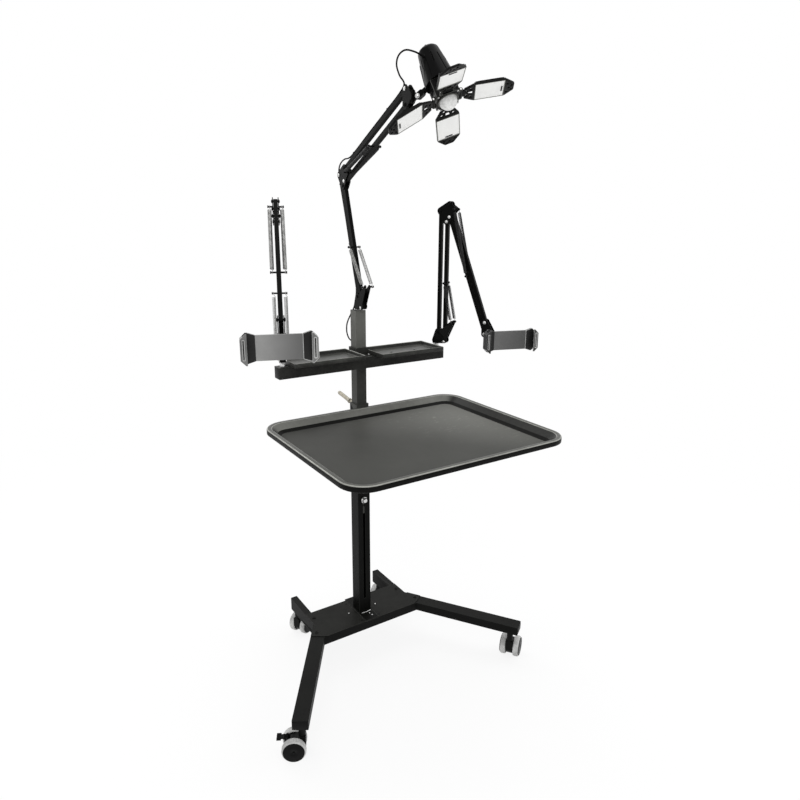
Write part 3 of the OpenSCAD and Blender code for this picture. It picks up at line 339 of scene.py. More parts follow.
# ---- forms grown by geometry nodes
class Growth(Graph):
    """A geometry tree with named sizes. It turns the points of a mesh into real parts."""

    def __init__(self, name, **sizes):
        super().__init__(bpy.data.node_groups.new(name, "GeometryNodeTree"))
        socket = self.tree.interface.new_socket
        socket("Geometry", in_out="INPUT", socket_type="NodeSocketGeometry")
        for key, value in sizes.items():
            kind = "NodeSocketInt" if isinstance(value, int) else "NodeSocketFloat"
            socket(key, in_out="INPUT", socket_type=kind).default_value = value
        socket("Material", in_out="INPUT", socket_type="NodeSocketMaterial")
        socket("Geometry", in_out="OUTPUT", socket_type="NodeSocketGeometry")

    def given(self, *names):
        """The tree's inputs of these names."""
        links = [self.node("NodeGroupInput", out=name) for name in names]
        return links if len(links) > 1 else links[0]

    def xyz(self, x=0.0, y=0.0, z=0.0):
        return self.node("ShaderNodeCombineXYZ", {"X": x, "Y": y, "Z": z})

    def on_points(self, part):
        """Sets a part on each point, its Z along the attribute facing and its X along the attribute along."""
        facing, along = (
            self.node("GeometryNodeInputNamedAttribute", {"Name": name}, data_type="FLOAT_VECTOR")
            for name in ("facing", "along"))
        turn = self.node("FunctionNodeAxesToRotation", {"Primary Axis": facing, "Secondary Axis": along},
                         primary_axis="Z", secondary_axis="X")
        return self.node("GeometryNodeInstanceOnPoints",
                         {"Points": self.given("Geometry"), "Instance": part, "Rotation": turn})

    def raised(self, shape, face, lift, share):
        """A shape with a face drawn up by lift and shrunk to a share. Gives the shape and the face."""
        offset = self.xyz(z=lift)
        drawn = self.node("GeometryNodeExtrudeMesh", {"Mesh": shape, "Selection": face, "Offset": offset},
                          mode="FACES")
        face = drawn.other("Top")
        return self.node("GeometryNodeScaleElements", {"Geometry": drawn, "Selection": face, "Scale": share},
                         domain="FACE"), face

    def wire(self, curves, radius, sides):
        """Curves as round wire with closed ends."""
        profile = self.node("GeometryNodeCurvePrimitiveCircle", {"Resolution": sides, "Radius": radius})
        joined = self.node("GeometryNodeJoinGeometry", {"Geometry": curves})
        sockets = {"Curve": joined, "Profile Curve": profile, "Fill Caps": True}
        return self.node("GeometryNodeCurveToMesh", sockets)

    def finish(self, part):
        real = self.node("GeometryNodeRealizeInstances", {"Geometry": part})
        made = self.node("GeometryNodeSetMaterial", {"Geometry": real, "Material": self.given("Material")})
        self.node("NodeGroupOutput", {0: made})
        return self

    def grow(self, name, places, material, edges=(), move=None, **sizes):
        """Runs the tree on places, each (point, facing, along), and gives the result as a plain mesh."""
        seed = bpy.data.meshes.new(name)
        seed.from_pydata([tuple(p[0]) for p in places], edges, [])
        for index, key in ((1, "facing"), (2, "along")):
            values = seed.attributes.new(key, "FLOAT_VECTOR", "POINT")
            values.data.foreach_set("vector", [c for p in places for c in p[index]])
        piece = shown(name, seed)
        growth = piece.modifiers.new("growth", "NODES")
        growth.node_group = self.tree
        sizes["Material"] = MATERIALS[material]
        for item in self.tree.interface.items_tree:
            if item.in_out == "INPUT" and item.name in sizes:
                growth[item.identifier] = sizes[item.name]
        shape = bpy.data.meshes.new_from_object(piece.evaluated_get(bpy.context.evaluated_depsgraph_get()))
        piece.modifiers.remove(growth)
        piece.data = shape
        bpy.data.meshes.remove(seed)
        if move is not None:
            shape.transform(move)
        close(shape)
        return piece


def close(mesh, sharp=38):
    """Faces outwards, smooth, with its sharp edges marked."""
    work = bmesh.new()
    work.from_mesh(mesh)
    bmesh.ops.recalc_face_normals(work, faces=work.faces)
    work.to_mesh(mesh)
    work.free()
    mesh.polygons.foreach_set("use_smooth", [True] * len(mesh.polygons))
    mesh.set_sharp_from_angle(angle=math.radians(sharp))


def screw_growth():
    """A round head: a wall, a chamfer, and a socket sunk into its face."""
    g = Growth("screw_heads", Radius=0.003, Height=0.0015)
    radius, height = g.given("Radius", "Height")
    shape = g.node("GeometryNodeMeshCylinder", {"Vertices": 20, "Radius": radius, "Depth": height * 1.2},
                   fill_type="NGON")
    face = shape.other("Top")
    for lift, share in ((0.4, 0.78), (0.0, 0.55), (-0.7, 0.9)):
        shape, face = g.raised(shape, face, height * lift, share)
    return g.finish(g.on_points(shape))


def rivet_growth():
    """A domed rivet head on a thin washer."""
    g = Growth("rivet_heads", Radius=0.003, Height=0.0015)
    radius, height = g.given("Radius", "Height")
    ball = g.node("GeometryNodeMeshUVSphere", {"Segments": 20, "Rings": 10, "Radius": radius})
    head = g.node("GeometryNodeTransform", {"Geometry": ball, "Scale": g.xyz(1.0, 1.0, height / radius)})
    washer = g.node("GeometryNodeMeshCylinder", {"Vertices": 24, "Radius": radius * 1.22,
                                                 "Depth": height * 0.5})
    return g.finish(g.on_points(g.node("GeometryNodeJoinGeometry", {"Geometry": [head, washer]})))


def rib_growth():
    """A straight rib with a narrower top, its length on X and its height on Z."""
    g = Growth("ribs", Length=0.01, Width=0.001, Height=0.001)
    length, width, height = g.given("Length", "Width", "Height")
    foot = g.node("GeometryNodeMeshCube", {"Size": g.xyz(length, width, height)})
    upward = g.vector("DOT_PRODUCT", g.node("GeometryNodeInputNormal"), UP, "Value")
    shape, _ = g.raised(foot, g.maths("GREATER_THAN", upward, 0.5), height * 0.25, 0.7)
    return g.finish(g.on_points(shape))


def spring_growth():
    """A pair of wound springs along X, a turned eye round a pin at each end."""
    g = Growth("wound_spring_pair", Length=0.1, Turns=20.0, Coil=0.0040, Wire=0.0007, Eye=0.0029, Side=0.014)
    length, turns, coil, eye, side = g.given("Length", "Turns", "Coil", "Eye", "Side")
    neck = eye * 3
    spiral = g.node("GeometryNodeCurveSpiral", {"Resolution": 12, "Rotations": turns, "Start Radius": coil,
                                                "End Radius": coil, "Height": length - neck * 2})
    curves = [g.node("GeometryNodeTransform", {"Geometry": spiral, "Rotation": (0, math.pi / 2, 0),
                                               "Translation": g.xyz(neck)})]
    for pin, inner, lean in ((g.xyz(), eye, 0.0), (g.xyz(length), eye * -1, math.pi)):
        ring = g.node("GeometryNodeCurveArc", {"Resolution": 14, "Radius": eye, "Start Angle": lean,
                                               "Sweep Angle": 5.4})
        curves.append(g.node("GeometryNodeTransform", {"Geometry": ring, "Translation": pin}))
        root = g.vector("ADD", pin, g.xyz(inner))
        coil_end = g.vector("ADD", pin, g.xyz(inner * 3, 0.0, coil * -1))
        curves.append(g.node("GeometryNodeCurvePrimitiveLine", {"Start": root, "End": coil_end}))
    wound = g.wire(curves, g.given("Wire"), 6)
    two = g.node("GeometryNodeMeshLine", {"Count": 2, "Start Location": g.xyz(z=side * -1),
                                          "Offset": g.xyz(z=side * 2)})
    return g.finish(g.node("GeometryNodeInstanceOnPoints", {"Points": two, "Instance": wound}))


def tube_growth():
    """A round tube along the edges of a mesh."""
    g = Growth("tube_along_points", Radius=0.0018, Sides=12)
    line = g.node("GeometryNodeMeshToCurve", {"Mesh": g.given("Geometry")})
    return g.finish(g.wire([line], g.given("Radius"), g.given("Sides")))


SCREWS, RIVETS, RIBS = screw_growth(), rivet_growth(), rib_growth()
SPRINGS, TUBE = spring_growth(), tube_growth()


def tube(name, points, radius, material, sides=12):
    """A tube along points, in metres."""
    places = [(p, UP, ACROSS) for p in points]
    edges = [(k, k + 1) for k in range(len(points) - 1)]
    return TUBE.grow(name, places, material, edges, Radius=radius, Sides=sides)


def ride(piece, body, replaces=()):
    """Sets a finished piece on its body and the nodes that it stands for."""
    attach(piece, body)
    if replaces:
        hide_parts(*replaces)


def placed(spots, facing, along=ACROSS, frame_at=Matrix.Identity(4)):
    """Places for a growth: spots in mm, a facing and an along, all in the frame of a matrix."""
    axis_turn = frame_at.to_3x3()
    facing, along = tuple(axis_turn @ Vector(facing)), tuple(axis_turn @ Vector(along))
    return [(frame_at @ (Vector(s) * MM), facing, along) for s in spots]


def heads(growth, name, body, places, material, radius, height):
    """Heads of screws or rivets on a body, their sizes in mm."""
    ride(growth.grow(name, places, material, Radius=radius * MM, Height=height * MM), body)


def ribs(name, body, places, material, length, width, height):
    """Ribs on a body, their sizes in mm."""
    sizes = {"Length": length * MM, "Width": width * MM, "Height": height * MM}
    ride(RIBS.grow(name, places, material, **sizes), body)


# ---- mesh making
SHARP_EDGE = math.radians(30)


def bands(rings):
    """The faces between rings of point numbers. A ring of one point closes a form on its axis."""
    faces = []
    for low, high in zip(rings, rings[1:]):
        count = max(len(low), len(high))
        for k in range(count if count > 1 else 0):
            j = (k + 1) % count
            if len(low) == 1:
                faces.append((low[0], high[j], high[k]))
            elif len(high) == 1:
                faces.append((low[k], low[j], high[0]))
            else:
                faces.append((low[k], low[j], high[j], high[k]))
    return faces


def lathe(profile, segs=32):
    """A closed form turned about Z, from (radius, height) in mm. The profile starts and ends on the axis, or
    else it is a ring's section."""
    points, rings = [], []
    for radius, z in profile:
        count = 1 if radius == 0 else segs
        rings.append(range(len(points), len(points) + count))
        turns = [2 * math.pi * k / segs for k in range(count)]
        points += [(radius * math.cos(a) * MM, radius * math.sin(a) * MM, z * MM) for a in turns]
    return points, bands(rings if profile[0][0] == 0 else rings + rings[:1])


def bevelled(points, faces, width, segs):
    """A closed form, in mm, with its sharp edges rounded."""
    work = bmesh.new()
    corners = [work.verts.new([c * MM for c in p]) for p in points]
    for f in faces:
        work.faces.new([corners[i] for i in f])
    bmesh.ops.recalc_face_normals(work, faces=work.faces)
    edges = [e for e in work.edges if e.is_manifold and e.calc_face_angle(0) > SHARP_EDGE]
    bmesh.ops.bevel(work, geom=edges, offset=width * MM, segments=segs, profile=0.6, affect="EDGES",
                    clamp_overlap=True)
    return bare(work)


def bare(work):
    """The points and faces of a bmesh, which is freed."""
    work.verts.index_update()
    form = [tuple(v.co) for v in work.verts], [tuple(v.index for v in f.verts) for f in work.faces]
    work.free()
    return form


def rectangle(x0, x1, y):
    """The corners of a rectangle that reaches y to both sides."""
    return [(x0, -y), (x1, -y), (x1, y), (x0, y)]


def prism(outline, z0, z1, width=0.5, segs=2):
    """An outline in mm drawn up from z0 to z1, with rounded edges."""
    n = len(outline)
    points = [(x, y, z) for z in (z0, z1) for x, y in outline]
    walls = [(k, (k + 1) % n, (k + 1) % n + n, k + n) for k in range(n)]
    return bevelled(points, [tuple(range(n - 1, -1, -1)), tuple(range(n, 2 * n)), *walls], width, segs)


def block(x, y, z, width=0.6, segs=2):
    """A box round the origin, in mm, with rounded edges."""
    return prism(rectangle(-x / 2, x / 2, y / 2), -z / 2, z / 2, width, segs)


def perforated(outline, holes, z0, z1, width=0.4):
    """A plate with holes, in mm: a filled flat curve, drawn out and converted to a mesh."""
    curve = bpy.data.curves.new("cut", "CURVE")
    curve.dimensions, curve.fill_mode = "2D", "BOTH"
    for loop in [outline, *holes]:
        spline = curve.splines.new("POLY")
        spline.points.add(len(loop) - 1)
        for point, (x, y) in zip(spline.points, loop):
            point.co = (x * MM, y * MM, 0, 1)
        spline.use_cyclic_u = True
    curve.extrude = ((z1 - z0) / 2 - width) * MM
    curve.bevel_depth, curve.bevel_resolution, curve.offset = width * MM, 1, -width * MM
    shape = shown("cut", curve)
    mesh = bpy.data.meshes.new_from_object(shape.evaluated_get(bpy.context.evaluated_depsgraph_get()))
    mesh.transform(Matrix.Translation((0, 0, (z0 + z1) / 2 * MM)))
    work = bmesh.new()
    work.from_mesh(mesh)
    bmesh.ops.remove_doubles(work, verts=work.verts, dist=1e-6)
    bpy.data.objects.remove(shape)
    bpy.data.curves.remove(curve)
    bpy.data.meshes.remove(mesh)
    return bare(work)


def round_hole(r, n, x, y):
    return [(x + r * math.cos(2 * math.pi * k / n), y + r * math.sin(2 * math.pi * k / n)) for k in range(n)]


def smooth_route(p, n):
    """A smooth curve through points, with n steps between each two."""
    out, last = [], len(p) - 1
    for i in range(last):
        a, b, c, d = p[max(i - 1, 0)], p[i], p[i + 1], p[min(i + 2, last)]
        for u in (j / n for j in range(n)):
            curved = (2 * a - 5 * b + 4 * c - d) * u * u + (3 * b - a - 3 * c + d) * u ** 3
            out.append(0.5 * (2 * b + (c - a) * u + curved))
    return out + [p[-1]]


class Piece:
    """Collects forms into one mesh object that rides on a body."""

    def __init__(self, name):
        self.name, self.points, self.faces, self.slots, self.materials = name, [], [], [], []

    def add(self, form, material, place=None):
        """material is a name, or one name for each face."""
        points, faces = form
        base = len(self.points)
        self.points += [tuple(place @ Vector(p)) if place is not None else tuple(p) for p in points]
        self.faces += [tuple(i + base for i in f) for f in faces]
        for key in [material] * len(faces) if isinstance(material, str) else material:
            if key not in self.materials:
                self.materials.append(key)
            self.slots.append(self.materials.index(key))
        return self

    def ride(self, body, slot, replaces=(), sharp=38):
        mesh = bpy.data.meshes.new(self.name)
        mesh.from_pydata(self.points, [], self.faces)
        for key in self.materials:
            mesh.materials.append(MATERIALS[key])
        mesh.polygons.foreach_set("material_index", self.slots)
        close(mesh, sharp)
        ride(shown(self.name, mesh), body, replaces)


def dress(node, materials, edge=None, round_edges=0.5, segs=2, choose=None, at=Matrix.Identity(4)):
    """Materials for a CAD node. edge is the material of its rounded edges, which are round_edges mm wide.
    choose gives a face's material from its centre in mm and its normal. The centre is in the frame at."""
    part = NODES[node]
    names = ([materials] if isinstance(materials, str) else materials) + [edge] * bool(edge)
    part.data.materials.clear()
    for key in names:
        part.data.materials.append(MATERIALS[key])
    back = at.inverted()
    for face in part.data.polygons:
        face.use_smooth = True
        face.material_index = int(choose(back @ face.center / MM, face.normal)) if choose else 0
    weld = part.modifiers.new("weld", "WELD")
    weld.merge_threshold = 1e-6
    if round_edges > 0:
        rounded = part.modifiers.new("rounded", "BEVEL")
        rounded.width, rounded.segments = round_edges * MM, segs
        rounded.limit_method, rounded.angle_limit = "ANGLE", math.radians(32)
        rounded.miter_outer = "MITER_ARC"
        rounded.material = len(names) - 1 if edge else -1
    normals = part.modifiers.new("normals", "WEIGHTED_NORMAL")
    normals.keep_sharp, normals.weight = False, 60


# ---- the arms' frames, in mm
class Arm:
    """The pivots of a spring-balanced arm as (reach, height) in its plane, worked out as the CAD does."""

    LOWER_OFFSET, UPPER_OFFSET, ELBOW_OFFSET = Vector((19, -28)), Vector((0, 32)), Vector((27, -16))

    def __init__(self, name, x, y, azimuth, lower, upper, reach, foot, head):
        self.name, self.x, self.y, self.foot = name, x, y, foot
        self.cos, self.sin = heading(azimuth)
        self.low_way, self.up_way = Vector(heading(lower)), Vector(heading(upper))
        self.b1 = Vector((9, foot + 35))
        self.b2 = self.b1 + self.LOWER_OFFSET
        self.e1 = self.b1 + self.low_way * reach
        self.e2 = self.e1 + self.LOWER_OFFSET
        self.g2 = self.e1 + self.ELBOW_OFFSET
        self.g1 = self.g2 + self.UPPER_OFFSET
        self.h2 = self.g2 + self.up_way * reach
        self.h1 = self.h2 + self.UPPER_OFFSET
        self.head = self.h2 + Vector(head)
        self.yoke_ear, self.elbow_ear = self.b1 + Vector((42, 28)), self.e1 + Vector((44, 4))
        self.low_mid, self.up_mid = self.b2 + self.low_way * reach / 2, self.g2 + self.up_way * reach / 2
        self.side = Vector((self.sin, -self.cos, 0))

    def at(self, p, t=0.0):
        """A point of the arm's plane, t mm to its side, in the object's frame and in metres."""
        x, y = self.x + p[0] * self.cos + t * self.sin, self.y + p[0] * self.sin - t * self.cos
        return Vector((x, y, p[1])) * MM

    def sides(self, points, out):
        """Places for a growth, out mm to both sides of points of the arm's plane."""
        return [(self.at(p, s * out), tuple(self.side * s), UP) for p in points for s in (-1, 1)]

    def body(self, part):
        return f"{self.name}_{part}"


BAR_Y, ARM_X, POST_TOP = -34.3, 235, 1034
TABLET_FOOT, LAMP_FOOT = 927, 1036
ARMS = [
    Arm("left", -ARM_X, BAR_Y, -112.4, 90, -45.8, 328, TABLET_FOOT, (24, -8)),
    Arm("right", ARM_X, BAR_Y, -62, 90, -69.8, 328, TABLET_FOOT, (24, -8)),
    Arm("lamp", 0, 0, -90, 106, 27.1, 320, LAMP_FOOT, (17, 14)),
]
LEFT, RIGHT, LAMP_ARM = ARMS
DARK_SPRINGS = {("right", "lower"), ("right", "upper"), ("lamp", "upper")}
SPRING_PITCH = {"lower": 2.3, "upper": 1.75}
SPRING_EYE = 2.9


def make_springs(arm):
    """Two wound springs at the sides of each of the arm's links. They turn and stretch with the link."""
    for part, low, high, holder in (("lower", arm.yoke_ear, arm.low_mid, "yoke"),
                                    ("upper", arm.elbow_ear, arm.up_mid, "elbow")):
        start, end = arm.at(low), arm.at(high)
        length, way = (end - start).length, (end - start).normalized()
        turns = round((length - 6 * SPRING_EYE * MM) / (SPRING_PITCH[part] * MM))
        material = "dark_spring" if (arm.name, part) in DARK_SPRINGS else "spring"
        pair = SPRINGS.grow(f"{arm.name}_{part}_spring_pair", [], material, Length=length, Turns=float(turns),
                            move=axes(way, arm.side.cross(way), arm.side, start))
        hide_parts(arm.body(part + "_springs"))
        arm.body(holder)
        arm.body(part + "_link")
        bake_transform(pair)


# numbers of the rivets that are bright in the photograph. The others are painted over
BRIGHT_RIVETS = {"left_yoke": [1], "left_elbow": [1], "left_head": [],
                 "right_yoke": [1], "right_elbow": [1, 3], "right_head": [0, 1],
                 "lamp_yoke": [1], "lamp_elbow": [0, 3], "lamp_head": [0]}
RIVET_OUT, CAP_OUT = 8.5, 17


def make_arm(arm):
    """Paint, rivets, pin caps, spacer and end plugs of an arm."""
    pins = {"yoke": [arm.b1, arm.b2], "elbow": [arm.e1, arm.e2, arm.g1, arm.g2], "head": [arm.h1, arm.h2]}
    if arm is not LAMP_ARM:
        pins["head"].append(arm.head)

    for part, points in pins.items():
        body = arm.body(part)
        dress(body, ["bracket", "bright"], "bracket_edge", 0.45,
              choose=lambda centre, normal: part == "yoke" and centre.z < arm.foot - 0.3)
        for finish, material in (("bright", "bright"), ("painted", "bracket")):
            chosen = [p for k, p in enumerate(points) if (k in BRIGHT_RIVETS[body]) == (finish == "bright")]
            if chosen:
                places = arm.sides(chosen, RIVET_OUT)
                heads(RIVETS, f"{body}_{finish}_rivets", body, places, material, 3.4, 1.5)
    for part, p, body in (("yoke_ear", arm.yoke_ear, "yoke"), ("elbow_ear", arm.elbow_ear, "elbow"),
                          ("low_link", arm.low_mid, "lower_link"), ("up_link", arm.up_mid, "upper_link")):
        places = arm.sides([p], CAP_OUT)
        heads(SCREWS, f"{arm.name}_{part}_pin_caps", arm.body(body), places, "dark_steel", 3.1, 1.4)
    middle = (arm.e2 + arm.g2) / 2 + Vector((2, 15))
    spacer = lathe([(0, -5.3), (2.6, -5.3), (2.6, 5.3), (0, 5.3)], 20)
    Piece(f"{arm.name}_elbow_spacer").add(spacer, "dark_steel", aim(arm.at(middle), arm.side)).ride(
        arm.body("elbow"), "bright_steel")
    for part, start, end, way in (
            ("lower_bar", arm.b1, arm.e1, arm.low_way), ("lower_link", arm.b2, arm.e2, arm.low_way),
            ("upper_bar", arm.g1, arm.h1, arm.up_way), ("upper_link", arm.g2, arm.h2, arm.up_way)):
        body, plugs = arm.body(part), Piece(f"{arm.name}_{part}_plugs")
        dress(body, "arm", "arm_edge", 0.8)
        outwards = (arm.at(end) - arm.at(start)).normalized()
        for p, s in ((start, -1), (end, 1)):
            plugs.add(block(7.4, 7.4, 3.4), "plug", aim(arm.at(p + way * s * 2.2), outwards * s, arm.side))
        plugs.ride(body, "castor_black")


for each_arm in ARMS:
    make_springs(each_arm)
    make_arm(each_arm)


# ---- base
SPLAY, APEX_X, APEX_Y, FRONT_LEN, REAR_END = 33.4, 149, -12, 366, 171
FRONT_ARM_Z, REAR_ARM_Z = 105.5, 98
DECK_TOP, DECK_FRONT, RAIL = 120, -64, 25


def front_way(side):
    """The direction of a front arm: side is -1 on the left and 1 on the right."""
    return Vector((*heading(side * SPLAY - 90), 0))


def make_base():
    """The side members' plugs, the deck's corners and screws."""
    dress("base_side_left", "frame", "frame_edge", 1.5, 3)
    dress("base_side_right", "frame", "frame_edge", 1.5, 3)
    dress("base_deck", "deck", "frame_edge", 0.5)
    plugs, corners = Piece("arm_end_plugs"), Piece("deck_corner_fillets")
    for side in (-1, 1):
        way = front_way(side)
        ends = [(Vector((side * APEX_X, APEX_Y, FRONT_ARM_Z)) + way * FRONT_LEN, way, 24.6, 39.6),
                (Vector((side * APEX_X, REAR_END, REAR_ARM_Z)), Vector(TO_BACK), 39.6, 19.6)]
        for end, out, high, wide in ends:
            plugs.add(block(high, wide, 3.4, 1.1, 3), "plug", aim((end + out * 0.2) * MM, out, UP))
            plugs.add(block(high - 6, wide - 6, 1.6, 0.7), "plug", aim((end + out * 1.9) * MM, out, UP))
        front = [(side * x, DECK_FRONT + y) for x, y in ((138, 0), (160, 0), (143.5, RAIL), (138, RAIL))]
        corners.add(prism(front[::side], DECK_TOP - 2 - RAIL, DECK_TOP - 2.2, 0.4), "frame")
    plugs.ride("base", "castor_black")
    corners.ride("base", "frame_black")
    big = [(-145, 34.5, DECK_TOP), (-169, -33, DECK_TOP), (147, 36, DECK_TOP), (171, -37, DECK_TOP)]
    bright = [(-46, -1.3, DECK_TOP), (46, -1.3, DECK_TOP), (7, -34, DECK_TOP + 1), (9, -46, DECK_TOP + 1)]
    dark = [(x, y, DECK_TOP) for x in (-30, 30) for y in (-52, 46)]
    for name, spots, material, radius, height in (("frame_bolts", big, "deck", 5.0, 2.4),
                                                  ("deck_screws", bright, "bright", 2.2, 1.2),
                                                  ("strip_screws", dark, "dark_steel", 2.2, 1.2)):
        heads(SCREWS, name, "base", placed(spots, UP), material, radius, height)


# just past the inner walls of column and post, in mm, and where slot, collar and sockets begin or end
COLUMN_IN, POST_IN, SLOT_TOP, COLLAR_FROM, SOCKET_FROM, SOCKET_R = 18.4, 13.6, 505, 752, 913, 5.4
WELD_STEPS, WELD_OUT, WELD_Z, GLINT_Y, GLINT_Z = 30, 20.1, 121.2, -22.6, 121.0
BUSHING_OUT, BUSHING_IN, BUSHING_FROM, BUSHING_TO = 19.6, 15.35, 522.2, 524.8
KNOB_FLUTES, KNOB_R = 16, 7.4
KNOB_AT = aim((0, -0.0285, 0.489), (0, -1, 0), UP)


def make_column():
    """Both tubes of the column with the weld, a painted highlight at its front, the bushing and the knob."""
    dress("column_lower", ["column", "shadow"], "column_edge", 1.3, 3, lambda centre, normal:
          max(abs(centre.x), abs(centre.y)) < COLUMN_IN
          and DECK_TOP + 5 < centre.z < SLOT_TOP and normal.z < 0.5)
    dress("column_upper", ["post", "plug"], "post_edge", 1.5, 3, lambda centre, normal:
          max(abs(centre.x), abs(centre.y)) < POST_IN and centre.z > POST_TOP - 4)
    corners = [Vector(c) for c in rectangle(-1, 1, 1)]
    loop = []
    for k in range(4 * WELD_STEPS + 1):
        side, share = divmod(k / WELD_STEPS, 1)
        a, b = (corners[(int(side) + j) % 4] for j in (0, 1))
        x, y = a.lerp(b, share) * (WELD_OUT + 0.35 * math.sin(k * 1.9))
        loop.append(Vector((x, y, WELD_Z + 0.25 * math.sin(k * 2.7))) * MM)
    ride(tube("column_weld", loop, 0.0013, "column", 8), "base")
    # painted highlight: a bright metal line along the front of the column's foot weld
    glint = [Vector((x, GLINT_Y - 0.9 * math.cos(x * 0.16), GLINT_Z)) * MM for x in range(-14, 19, 2)]
    ride(tube("column_front_bead", glint, 0.0011, "bright", 8), "base")
    outer, inner = (rectangle(-r, r, r) for r in (BUSHING_OUT, BUSHING_IN))
    bushing = perforated(outer, [inner], BUSHING_FROM, BUSHING_TO)
    Piece("column_bushing").add(bushing, "plug").ride("base", "castor_black")
    dress("height_knob", "bright", None, 0.4)
    flutes = []
    for k in range(KNOB_FLUTES):
        flutes += placed([(KNOB_R, 0, 0)], ACROSS, UP, KNOB_AT @ turned(360 / KNOB_FLUTES * k))
    ribs("knob_flutes", "height_knob", flutes, "dark_steel", 5.0, 1.3, 1.1)


def make_post_parts():
    """The tray's bracket and screws, the crossbar's plugs and screws."""
    dress("tray_bracket", ["frame", "post"], "frame_edge", 0.8,
          choose=lambda centre, normal: centre.z > COLLAR_FROM)
    dress("clamp_screw", "chrome", None, 0.0)
    dress("crossbar", ["bar", "spring"], "bar_edge", 1.1, 3, lambda centre, normal:
          math.hypot(abs(centre.x) - ARM_X, centre.y - BAR_Y) < SOCKET_R
          and centre.z > SOCKET_FROM and normal.z < 0.5)
    ends = Piece("crossbar_plugs")
    for side in (-1, 1):
        end_at = aim((side * 0.2512, BAR_Y * MM, 0.899), (side, 0, 0), UP)
        ends.add(block(27.4, 27.4, 1.6, 0.7), "plug", end_at)
    ends.ride("post", "castor_black")
    bolts = placed([(x, y, 740) for x in (-34, 34) for y in (-60, -185)], DOWN)
    heads(SCREWS, "tray_bolts", "tray_unit", bolts, "dark_steel", 4.2, 2.0)
    behind = placed([(0, 19.3, 889), (0, 19.3, 922)], TO_BACK, UP)
    heads(SCREWS, "sleeve_set_screws", "post", behind, "dark_steel", 3.4, 2.0)
    floor = placed([(x, BAR_Y, 915.5) for x in (-160, -84, 84, 160)], UP)
    heads(SCREWS, "shelf_screws", "post", floor, "shelf", 3.0, 1.0)


make_base()
make_column()
make_post_parts()


# ---- castors
CASTOR_TURNS = {"fl": 152, "fr": 35, "rl": 30, "rr": 40}
WHEEL_R, WHEEL_OUT, DISC_R, TRAIL, INSET = 30, 27.6, 19.3, 20, 24
COLLAR_Z = {"f": 87.9, "r": 72.9}
CAP_RIM = [(0, 0.3), (3.2, 0.3), (4.2, 1.1), (15.6, 1.3), (17.4, 0.9), (25.0, 1.5), (26.2, 1.2), (26.5, 0.4),
           (26.5, -0.2), (0, -0.2)]
CAP_BUTTON = [(0, 0.3), (2.6, 0.3), (2.6, 1.7), (1.8, 2.1), (0, 2.1)]
COLLAR = [(0, 0), (7.6, 0), (8.6, 0.8), (8.6, 3.4), (7.8, 4.2), (0, 4.2)]


def castor_frame(name):
    """A castor's own frame: its stem on Z, the floor at 0 and its trail on X."""
    side = -1 if name[1] == "l" else 1
    if name[0] == "f":
        foot = Vector((side * APEX_X, APEX_Y, 0)) + front_way(side) * (FRONT_LEN - INSET)
    else:
        foot = Vector((side * APEX_X, REAR_END - INSET, 0))
    return shift(*foot) @ turned(CASTOR_TURNS[name])


def make_castor(name):
    """Tyres, wheel caps and the stem's collar of a castor."""
    m, body = castor_frame(name), "castor_" + name
    dress(body + "_wheels", ["tyre", "castor"], None, 0.0, at=m,
          choose=lambda centre, normal: math.hypot(centre.x - TRAIL, centre.z - WHEEL_R) < DISC_R)
    dress(body + "_body", "castor", None, 0.6)
    caps = Piece(body + "_wheel_caps")
    for s in (-1, 1):
        out = aim(m @ (Vector((TRAIL, s * WHEEL_OUT, WHEEL_R)) * MM), m.to_3x3() @ Vector((0, s, 0)))
        caps.add(lathe(CAP_RIM, 48), "castor", out).add(lathe(CAP_BUTTON, 24), "castor", out)
    caps.ride(body + "_wheels", "castor_black")
    collar_at = Matrix.Translation(m.translation) @ shift(z=COLLAR_Z[name[0]])
    Piece(body + "_collar").add(lathe(COLLAR, 32), "dark_steel", collar_at).ride(body, "castor_black")


for castor in CASTOR_TURNS:
    make_castor(castor)
dress("castor_fl_pedal", "castor", "jaw", 0.6)
pedal_ribs = placed([(53.4 + k * 2.3, 0, 56.3) for k in range(4)], UP, TO_BACK, castor_frame("fl"))
ribs("brake_pedal_ribs", "castor_fl_pedal", pedal_ribs, "castor", 17, 1.1, 0.9)


# ---- trays
def rounded_ring(width, depth, corner, z, x0, y0, steps):
    """One ring of a tray, in metres, counter-clockwise."""
    ring = []
    for sx, sy, start in ((1, 1, 0), (-1, 1, 90), (-1, -1, 180), (1, -1, 270)):
        for k in range(steps + 1):
            a = math.radians(start + 90 * k / steps)
            x = x0 + sx * (width / 2 - corner) + corner * math.cos(a)
            y = y0 + sy * (depth / 2 - corner) + corner * math.sin(a)
            ring.append((x * MM, y * MM, z * MM))
    return ring


def pressed(profile, width, depth, corner, x0, y0, steps):
    """A pressed tray from a profile. Gives a form and the finish of each of its faces. corner is the rim's
    radius, what it loses with each mm inwards, and the least that is left."""
    points, rings, names = [], [], []
    first, loss, least = corner
    for finish, run in profile:
        for inset, z in run:
            radius = max(first - inset * loss, least)
            ring = rounded_ring(width - 2 * inset, depth - 2 * inset, radius, z, x0, y0, steps)
            rings.append(range(len(points), len(points) + len(ring)))
            points += ring
            names += [finish] * len(ring)
    faces = [tuple(reversed(rings[0])), *bands(rings), tuple(rings[-1])]
    return (points, faces), [names[0], *names[:-len(ring)], names[-1]]


